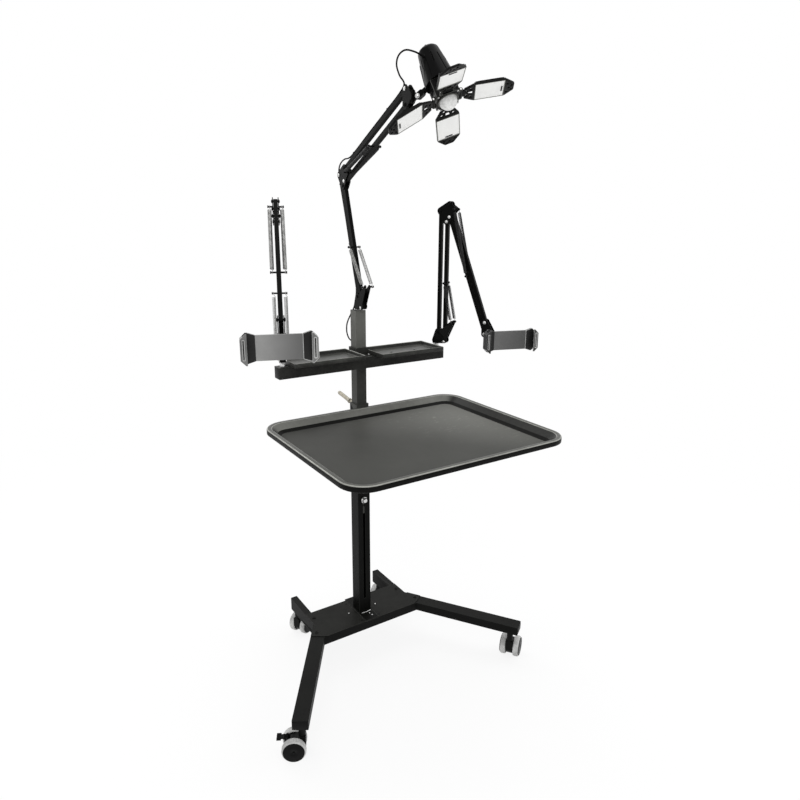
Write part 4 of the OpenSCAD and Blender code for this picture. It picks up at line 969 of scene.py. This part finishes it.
# (inset, height) of each bend, after the finish of the strips that start there
TRAY_PROFILE = [
    ("tray", [(60, 747.0), (38, 747.0)]),
    ("tray_wall", [(35.4, 747.3), (33.4, 748.4)]),
    ("tray_back", [(27, 754.2), (14.6, 765.6)]),
    ("tray_line", [(13.0, 767.4)]),
    ("tray_rim", [(11.4, 768.5), (9.0, 768.95), (5.0, 769.0)]),
    ("tray_line", [(2.9, 768.8), (1.4, 768.1)]),
    ("tray_wall", [(0.5, 766.9), (0.05, 765.0), (0.05, 756.6), (0.5, 755.4), (1.6, 754.6), (22.6, 744.7),
                   (25, 744.1), (28, 744.0), (60, 744.0)]),
]
SHELF_PROFILE = [
    ("shelf", [(8, 915.5), (3.4, 915.6), (2.2, 916.4), (1.8, 917.6)]),
    ("shelf_line", [(1.6, 924.6), (1.2, 925.7), (0.7, 926.0)]),
    ("shelf_side", [(0.25, 925.6), (0.05, 924.8), (0.05, 915.4)]),
    ("bar", [(0.6, 914.4), (1.8, 914.05), (8, 914.0)]),
]


def make_trays():
    form, names = pressed(TRAY_PROFILE, 600, 486, (60, 1, 3), 0, -263.5, 16)
    Piece("work_tray_sheet").add(form, names).ride("tray_unit", "tray_dark", ["tray"], sharp=60)
    sheets = Piece("shelf_sheets")
    for x, y in ((-122, -22), (122, -34)):
        form, names = pressed(SHELF_PROFILE, 200, 112, (3.2, 0.6, 0.8), x, y, 5)
        sheets.add(form, names)
    sheets.ride("post", "shelf_black", ["shelves"], sharp=50)


make_trays()


# ---- tablet holders
BALL_REACH, HOLDER_SHIFT, JAW_EDGE_Y, SLOT_Y, PAD_Y = 46, 6, 45, 67.5, 68.5
PLATE_BACK, PLATE_FRONT, JAW_TIP, JAW_SCREW_Y, JAW_SCREW_Z = 11, 17, 35, 60, 21
PAD_X, PAD_RIBS, RIB_PITCH, BALL_R, CUP_GRIPS, GRIP_R = 24, 9, 4.3, 9.5, 18, 12.3
WING_OUT, WING_LIFT, WING_LEAN = 9.4, 0.0028, Vector((1, 0.45))
CUP_RING = [(0, 0), (12.0, 0), (12.6, 0.6), (12.6, 3.4), (11.4, 4.4), (0, 4.4)]
WING_BOSS = [(0, 0), (4.2, 0), (4.2, 2.6), (3.0, 5.0), (0, 5.0)]
WING = [(0, -2.2), (9, -3.4), (12.5, -1.0), (12.5, 1.6), (9, 3.2), (0, 2.0)]


def make_holder(arm, face, tone, painted_shade_tone, lip_tone, screw_side):
    """A tablet holder: its plate, both jaws with pads, the cup, and the wing screw that clamps the stem."""
    ball = arm.at(arm.head + Vector((BALL_REACH, 0)))
    cup = Matrix.Translation(ball) @ turned(face)
    m = cup @ shift(y=-HOLDER_SHIFT)
    across = m.to_3x3() @ Vector(TO_BACK)
    middle = across.dot(m.translation)
    plate, lip = f"{arm.name}_plate", f"{arm.name}_lip"
    # painted light and shade: the plate darkens across its width, and the lips take a lighter tone
    plastic(plate, tone, 0.40, 0.3, grain=1400, spread=0.1,
            shade=(painted_shade_tone, tuple(across), middle - 0.052, middle + 0.046))
    plastic(lip, lip_tone, 0.34, 0.2)
    # painted light: on the left holder the jaw's root and its pads take the lips' lighter tone
    lit_root = arm is LEFT

    def cradle_face(centre, normal):
        root, front = centre.y < -JAW_EDGE_Y + 0.2, centre.x > PLATE_FRONT + 0.4
        return 2 if centre.x > JAW_TIP - 0.4 or lit_root and root and front else root or front

    stem, cradle, jaw = (arm.body(part) for part in ("stem", "cradle", "jaw"))
    dress(stem, ["bracket", "bright"], "bracket_edge", 0.4, at=cup,
          choose=lambda centre, normal: centre.length < BALL_R)
    dress(cradle, [plate, "jaw", lip], "jaw_edge", 1.1, 3, cradle_face, m)
    dress(jaw, ["jaw", lip], "jaw_edge", 1.1, 3, lambda centre, normal: centre.x > JAW_TIP - 0.4, m)
    for body, s in ((cradle, -1), (jaw, 1)):
        pad_tone = lip if lit_root and s < 0 else "rubber"
        at_slot = m @ aim(((JAW_TIP + 0.1) * MM, s * SLOT_Y * MM, 0), ACROSS, TO_BACK)
        pads = Piece(f"{body}_pads")
        slot = perforated(rectangle(-2.4, 2.4, 20), [rectangle(-1.3, 1.3, 18.8)], -0.6, 0.4, 0.2)
        pads.add(slot, "slot", at_slot)
        pads.add(block(2.8, 38, 1.2, 0.4), "rubber", at_slot @ shift(z=-0.8))
        pads.add(block(14, 1.0, 40, 0.4), pad_tone, m @ shift(PAD_X, s * PAD_Y, 0))
        pads.ride(body, "holder_charcoal")
        rows = [(PAD_X, s * (PAD_Y - 0.5), (k - PAD_RIBS // 2) * RIB_PITCH) for k in range(PAD_RIBS)]
        rows = placed(rows, (0, -s, 0), ACROSS, m)
        ribs(f"{body}_pad_ribs", body, rows, pad_tone, 12, 1.6, 1.0)
        corners = [(PLATE_BACK, s * JAW_SCREW_Y, z) for z in (-JAW_SCREW_Z, JAW_SCREW_Z)]
        screws = placed(corners, (-1, 0, 0), UP, m)
        heads(SCREWS, f"{body}_screws", body, screws, "dark_steel", 1.9, 0.8)
    Piece(f"{arm.name}_cup_ring").add(lathe(CUP_RING, 36), "jaw", cup @ aim((0.002, 0, 0), ACROSS)).ride(
        cradle, "holder_charcoal")
    grips = []
    for k in range(CUP_GRIPS):
        grips += placed([(0.2, GRIP_R, 0)], TO_BACK, ACROSS, cup @ turned(360 / CUP_GRIPS * k, "X"))
    ribs(f"{arm.name}_cup_grips", cradle, grips, "jaw", 6, 1.4, 1.1)
    out, root = arm.side * screw_side, arm.at(arm.head, screw_side * WING_OUT)
    wings = Piece(f"{arm.name}_wing_screw").add(lathe(WING_BOSS, 24), "jaw", aim(root, out))
    for s in (-1, 1):
        spread = (arm.at(arm.head + WING_LEAN) - arm.at(arm.head)).normalized() * s
        wings.add(prism(WING, -0.9, 0.9), "jaw", aim(root + out * WING_LIFT, spread.cross(out), spread))
    wings.ride(stem, "holder_charcoal")


# painted light and shade: the left holder is given lighter tones than the right one
make_holder(LEFT, -109, 0.265, 0.115, 0.15, -1)
make_holder(RIGHT, -108, 0.125, 0.075, 0.03, 1)


# ---- lamp
STUB_TURN, STUB_RISE, STUB_LEN, TONGUE_REACH = math.radians(-58.6), math.radians(36), 0.056, 0.016
LAMP_FACE, LAMP_TILT, LEAF_TURN, LEAF_DROOP = -80, 31, 48.8, 12
MOUTH_Z, HUB_H, LEAF_DROP, HINGE_R, LEAF_LEN, LEAF_HALF = -14, 41, 36, 30, 112, 27
STUB_WAY = Vector((math.cos(STUB_TURN), math.sin(STUB_TURN), 0))
HINGE = LAMP_ARM.at(LAMP_ARM.head) + STUB_WAY * TONGUE_REACH
LAMP_AT = HINGE + (STUB_WAY * math.cos(STUB_RISE) + Vector(UP) * math.sin(STUB_RISE)) * STUB_LEN
LAMP = Matrix.Translation(LAMP_AT) @ turned(LAMP_FACE) @ turned(-LAMP_TILT, "Y")
HUB = LAMP @ turned(LEAF_TURN)
HUB_BOTTOM, LENS_R, HUB_SCREW, HUB_HALF, FIN_PITCH = MOUTH_Z - HUB_H, 20.2, 21.4, 25, 3.2
SHADE_RIBS, RIB_FOOT, TIP_Z, JOINT_OUT = 6, (30.2, 0, 16), 71.6, 0.0066
LENS_RING = [(20.2, 0), (20.2, -1.4), (21.0, -2.0), (22.0, -2.0), (22.6, -1.3), (22.6, 0)]
SHADE_TIP = [(0, 0), (3.4, 0), (3.8, 1.6), (2.6, 3.2), (3.4, 5.2), (2.6, 7.0), (0, 7.6)]
SHADE_SLOPE = Vector((-9.3, 0, 70.5)).normalized()


def make_lamp():
    """The shade's ribs and tip, the hub's fins and screws, and the lens's ring."""
    dress("lamp_shade", "shade", "shade_edge", 0.5)
    dress("lamp_hub", ["hub", "lens"], "hub_edge", 0.7, at=HUB, choose=lambda centre, normal:
          math.hypot(centre.x, centre.y) < LENS_R and centre.z < HUB_BOTTOM - 0.4)
    corners = [(x, y, HUB_BOTTOM) for x in (-HUB_SCREW, HUB_SCREW) for y in (-HUB_SCREW, HUB_SCREW)]
    corners = placed(corners, DOWN, ACROSS, HUB)
    heads(SCREWS, "hub_screws", "lamp_shade", corners, "bright", 2.0, 1.0)
    fins, seams = [], []
    for k in range(4):
        stack = [(HUB_HALF, 0, MOUTH_Z - 5 - FIN_PITCH * j) for j in range(5)]
        fins += placed(stack, ACROSS, TO_BACK, HUB @ turned(90 * k))
    outward = Vector(TO_BACK).cross(SHADE_SLOPE)
    for k in range(SHADE_RIBS):
        seams += placed([RIB_FOOT], outward, SHADE_SLOPE, LAMP @ turned(360 / SHADE_RIBS * k + 45))
    ribs("hub_fins", "lamp_shade", fins, "hub", 44, 1.2, 1.8)
    ribs("shade_ribs", "lamp_shade", seams, "shade", 50, 1.3, 1.6)
    ring, tip = lathe(LENS_RING, 48), lathe(SHADE_TIP, 24)
    Piece("lens_ring").add(ring, "hub_edge", HUB @ shift(z=HUB_BOTTOM)).ride("lamp_shade", "bright_steel")
    Piece("shade_tip").add(tip, "shade", LAMP @ shift(z=TIP_Z)).ride("lamp_shade", "lamp_black")
    across = Vector((math.sin(STUB_TURN), -math.cos(STUB_TURN), 0))
    places = [(HINGE + across * s * JOINT_OUT, tuple(across * s), UP) for s in (-1, 1)]
    heads(RIVETS, "lamp_joint_screws", "lamp_shade", places, "bright", 4.2, 2.6)


def cushion(x0, x1, half, z, thick, bulge, nx=16, ny=12):
    """A diffuser: flat on top, softly bulged below."""
    low, high = [], []
    for i in range(nx + 1):
        for k in range(ny + 1):
            u, v = i / nx, 2 * k / ny - 1
            x, y, swell = x0 + (x1 - x0) * u, half * v, bulge * (1 - (2 * u - 1) ** 4) * (1 - v ** 4)
            low.append((x * MM, y * MM, (z - thick - swell) * MM))
            high.append((x * MM, y * MM, z * MM))
    w, n = ny + 1, len(low)
    starts = [i * w + k for i in range(nx) for k in range(ny)]
    cells = [(a, a + 1, a + 1 + w, a + w) for a in starts]
    edge = [i * w for i in range(nx + 1)] + [nx * w + k for k in range(1, w)]
    edge += [i * w + ny for i in range(nx - 1, -1, -1)] + list(range(ny - 1, 0, -1))
    walls = [(a, b, b + n, a + n) for a, b in zip(edge, edge[1:] + edge[:1])]
    return low + high, cells + [tuple(q + n for q in reversed(c)) for c in cells] + walls


LEAF_BARREL = [(0, -11), (3.5, -11), (3.8, -10.6), (3.8, 10.6), (3.5, 11), (0, 11)]


def make_leaf(node, side):
    """One leaf: a pierced hinge plate, a black back with fins, a white diffuser in a frame, a pierced tip."""
    m = HUB @ turned(side) @ shift(HINGE_R, 0, MOUTH_Z - LEAF_DROP) @ turned(LEAF_DROOP, "Y")
    h, tip_w, end = LEAF_HALF, LEAF_HALF * 0.42, LEAF_LEN - 0.3
    plate = [(7, -15.5), (7, 15.5), (25, h - 0.4), (30, h - 0.4), (30, -h + 0.4), (25, -h + 0.4)]
    holes = [round_hole(2.9, 18, x, y) for x, y in ((11.6, -7.6), (11.6, 7.6), (20.4, -13.2), (20.4, 13.2))]
    holes.append([(15.5, -3.4), (24.5, -5.4), (24.5, 5.4), (15.5, 3.4)])
    tip = [(90, -h + 0.4), (90, h - 0.4), (95, h - 1.4), (LEAF_LEN - 2.2, tip_w + 0.6), (end, tip_w - 1.6),
           (end, -tip_w + 1.6), (LEAF_LEN - 2.2, -tip_w - 0.6), (95, -h + 1.4)]
    dots = [round_hole(2.4, 16, x, y) for x, y in ((96.6, -13.8), (96.6, 13.8), (100.8, 0), (106, -7),
                                                   (106, 7))]
    p = Piece(node + "_panel")
    p.add(lathe(LEAF_BARREL, 28), "leaf_black", m @ aim((0, 0, 0), TO_BACK))
    p.add(block(9, 21.4, 3.4), "leaf_black", m @ shift(5.5, 0, -0.4))
    p.add(perforated(plate, holes, -3.2, 0.4), "leaf_black", m)
    p.add(prism(rectangle(28, 92, h - 0.6), -2.6, 1.6, 0.6), "leaf_black", m)
    p.add(perforated(tip, dots, -3.8, 0.6), "leaf_black", m)
    frame_in = rectangle(30.6, 90.2, h - 1.4)
    p.add(perforated(rectangle(29.4, 91.4, h - 0.2), [frame_in], -4.0, -2.2, 0.3), "leaf_line", m)
    for s in (-1, 1):
        p.add(block(66, 0.9, 5.4, 0.3), "leaf_black", m @ shift(60, s * (h - 0.35), -1.0))
    p.add(cushion(30.4, 90.4, h - 1.2, -2.2, 0.9, 0.9), "diffuser", m)
    p.add(block(3.0, 17, 1.0, 0.4), "plug", m @ shift(85.6, 0, -4.1))
    p.ride(node, "leaf_white", [node], sharp=34)
    fins = placed([(60, (k - 5) * 4.9, 2.9) for k in range(11)], UP, ACROSS, m)
    ribs(node + "_fins", node, fins, "leaf_black", 60, 1.5, 3.0)
    pins = placed([(0, s * 15, 0) for s in (-1, 1)], TO_BACK, ACROSS, m)
    heads(RIVETS, node + "_pin_heads", node, pins, "bright", 2.5, 1.3)


make_lamp()
for leaf_side, leaf_name in enumerate(("leaf_right", "leaf_back", "leaf_left", "leaf_front")):
    make_leaf(leaf_name, 90 * leaf_side)


# ---- the lamp's cable
CABLE_R, CABLE_STEPS = 0.0018, 6
# offsets in mm from the lamp's hinge, the first pivots of head, elbow and yoke, and the post's grommet
CABLE_ROUTE = [
    (HINGE / MM, [(-6.5, -24, 72.5), (-24.5, -19, 79.5), (-38.5, -5, 83.5), (-44.5, 11, 75.5),
                  (-40.5, 25, 60.5), (-26.5, 35, 43.5)]),
    (LAMP_ARM.at(LAMP_ARM.h1) / MM, [(-2, 10.5, 11.5), (0, 32.5, -4.5), (0, 82.5, -30.5)]),
    (LAMP_ARM.at(LAMP_ARM.g1) / MM, [(0, -112, 69.5), (0, -42, 33.5), (0, -16, 23.5), (0, 10, 21.5),
                                     (0, 32, 11.5), (0, 41, -6.5), (0, 34, -38.5), (0, 10, -114.5)]),
    (LAMP_ARM.at(LAMP_ARM.b1) / MM, [(0, 49, 133), (0, 28, 59), (0, 17, 24), (0, 19, -3), (0, 30, -31),
                                     (-9, 35, -53), (-22, 31, -75)]),
    (Vector((0, 15, 944)), [(-24, 5, 28), (-14, 10, 9), (-3, 11, 1), (0, 7, 0), (0, 3, 0)]),
]
# last point of each run, and the body that it rides on, or the two bodies that it runs between
CABLE_RUNS = [(6, "lamp_shade", "lamp_head"), (8, "lamp_head", "lamp_upper_bar"),
              (10, "lamp_upper_bar", None), (12, "lamp_upper_bar", "lamp_elbow"),
              (15, "lamp_elbow", "lamp_lower_bar"), (18, "lamp_lower_bar", None),
              (20, "lamp_lower_bar", "lamp_yoke"), (28, "lamp_yoke", "post")]
CABLE_TIES = [(8, "lamp_upper_bar"), (10, "lamp_upper_bar"), (15, "lamp_lower_bar"), (17, "lamp_lower_bar")]
TIE_BAND = [(0, -1.3), (2.7, -1.3), (2.9, -0.9), (2.9, 0.9), (2.7, 1.3), (0, 1.3)]
SLEEVE = [(0, -4), (3.6, -4), (3.6, 0), (3.0, 1.0), (3.0, 2.2), (2.6, 3.0), (2.6, 5), (2.2, 8), (0, 8)]


def make_cable():
    """The cable in runs, those on one body riding on it, its ties, and the sleeve where it leaves the shade."""
    route = [start + Vector(p) for start, offsets in CABLE_ROUTE for p in offsets]
    line = [p * MM for p in smooth_route(route, CABLE_STEPS)]
    first = 0
    for i, (last, one, two) in enumerate(CABLE_RUNS):
        part = line[first * CABLE_STEPS:last * CABLE_STEPS + 1]
        run = tube(f"lamp_cable_run_{i + 1}", part, CABLE_R, "cable")
        if i == 0:
            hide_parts("lamp_cable")
        if two:
            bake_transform(run)
        else:
            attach(run, one)
        first = last
    for k, (index, body) in enumerate(CABLE_TIES):
        here, there = line[index * CABLE_STEPS], line[index * CABLE_STEPS + 1]
        tie = Piece(f"cable_tie_{k + 1}").add(lathe(TIE_BAND, 20), "plug", aim(here, there - here))
        tie.ride(body, "castor_black")
    sleeve_at = aim(line[0], line[1] - line[0])
    Piece("cable_sleeve").add(lathe(SLEEVE, 24), "cable", sleeve_at).ride("lamp_shade", "cable_black")


make_cable()


# ---- stage and light
FLOOR_HALF, FLOOR_WHITE, PLAIN_FROM, PLAIN_TO = 9, 0.85, 1.0, 2.6
AMBIENT, WHITE = 0.8, (1, 1, 1, 1)
LAMPS = (
    ("key", (-2.6, -3.2, 3.4), (0, -0.1, 0.9), 2.2, 50),
    ("fill", (3.4, -1.6, 2.2), (0, 0, 0.9), 2.6, 23),
    ("top", (0.2, 0.4, 4.2), (0, -0.1, 0.5), 3.2, 42),
    ("rim", (-1.2, 3.4, 2.4), (0, 0, 1.0), 2.2, 19),
)


def white_for_camera(graph, output, shader, kind, share):
    """Mixes plain white in for what the camera sees directly, in a reflection or through glass."""
    seen = ray = graph.node("ShaderNodeLightPath", out="Is Camera Ray")
    for name in ("Is Glossy Ray", "Is Transmission Ray"):
        seen = graph.maths("MAXIMUM", seen, ray.other(name))
    white = graph.node(kind, {"Color": WHITE, "Strength": 1.0})
    mixed = graph.node("ShaderNodeMixShader", {0: seen * share, 1: Link(graph, shader.outputs[0]), 2: white})
    graph.tree.links.new(mixed.socket, graph.found(output).inputs["Surface"])


def make_stage():
    """A white floor that keeps the shadow, a white surround and four soft lamps."""
    paint = Paint("studio_floor", Roughness=0.9, Specular_IOR_Level=0.0, Base_Color=(0.9, 0.9, 0.9, 1))
    distance = paint.vector("LENGTH", paint.place, (0, 0, 0), "Value")
    share = FLOOR_WHITE + distance.step(PLAIN_FROM, PLAIN_TO) * (1 - FLOOR_WHITE)
    white_for_camera(paint, "OUTPUT_MATERIAL", paint.shader, "ShaderNodeEmission", share)
    mesh = bpy.data.meshes.new("floor")
    corners = rectangle(-FLOOR_HALF, FLOOR_HALF, FLOOR_HALF)
    mesh.from_pydata([(x, y, 0) for x, y in corners], [], [(0, 1, 2, 3)])
    mesh.materials.append(paint.material)
    shown("floor", mesh)
    world = bpy.data.worlds.new("studio")
    world.use_nodes = True
    surround = Graph(world.node_tree)
    sky = surround.found("BACKGROUND")
    sky.inputs["Color"].default_value, sky.inputs["Strength"].default_value = WHITE, AMBIENT
    white_for_camera(surround, "OUTPUT_WORLD", sky, "ShaderNodeBackground", 1.0)
    for name, place, target, size, power in LAMPS:
        data = bpy.data.lights.new(name, "AREA")
        data.size, data.energy = size, power
        shown(name, data).matrix_world = aim(place, Vector(place) - Vector(target))
    bpy.context.scene.world = world
    bpy.context.scene.view_settings.view_transform = "Standard"


make_stage()
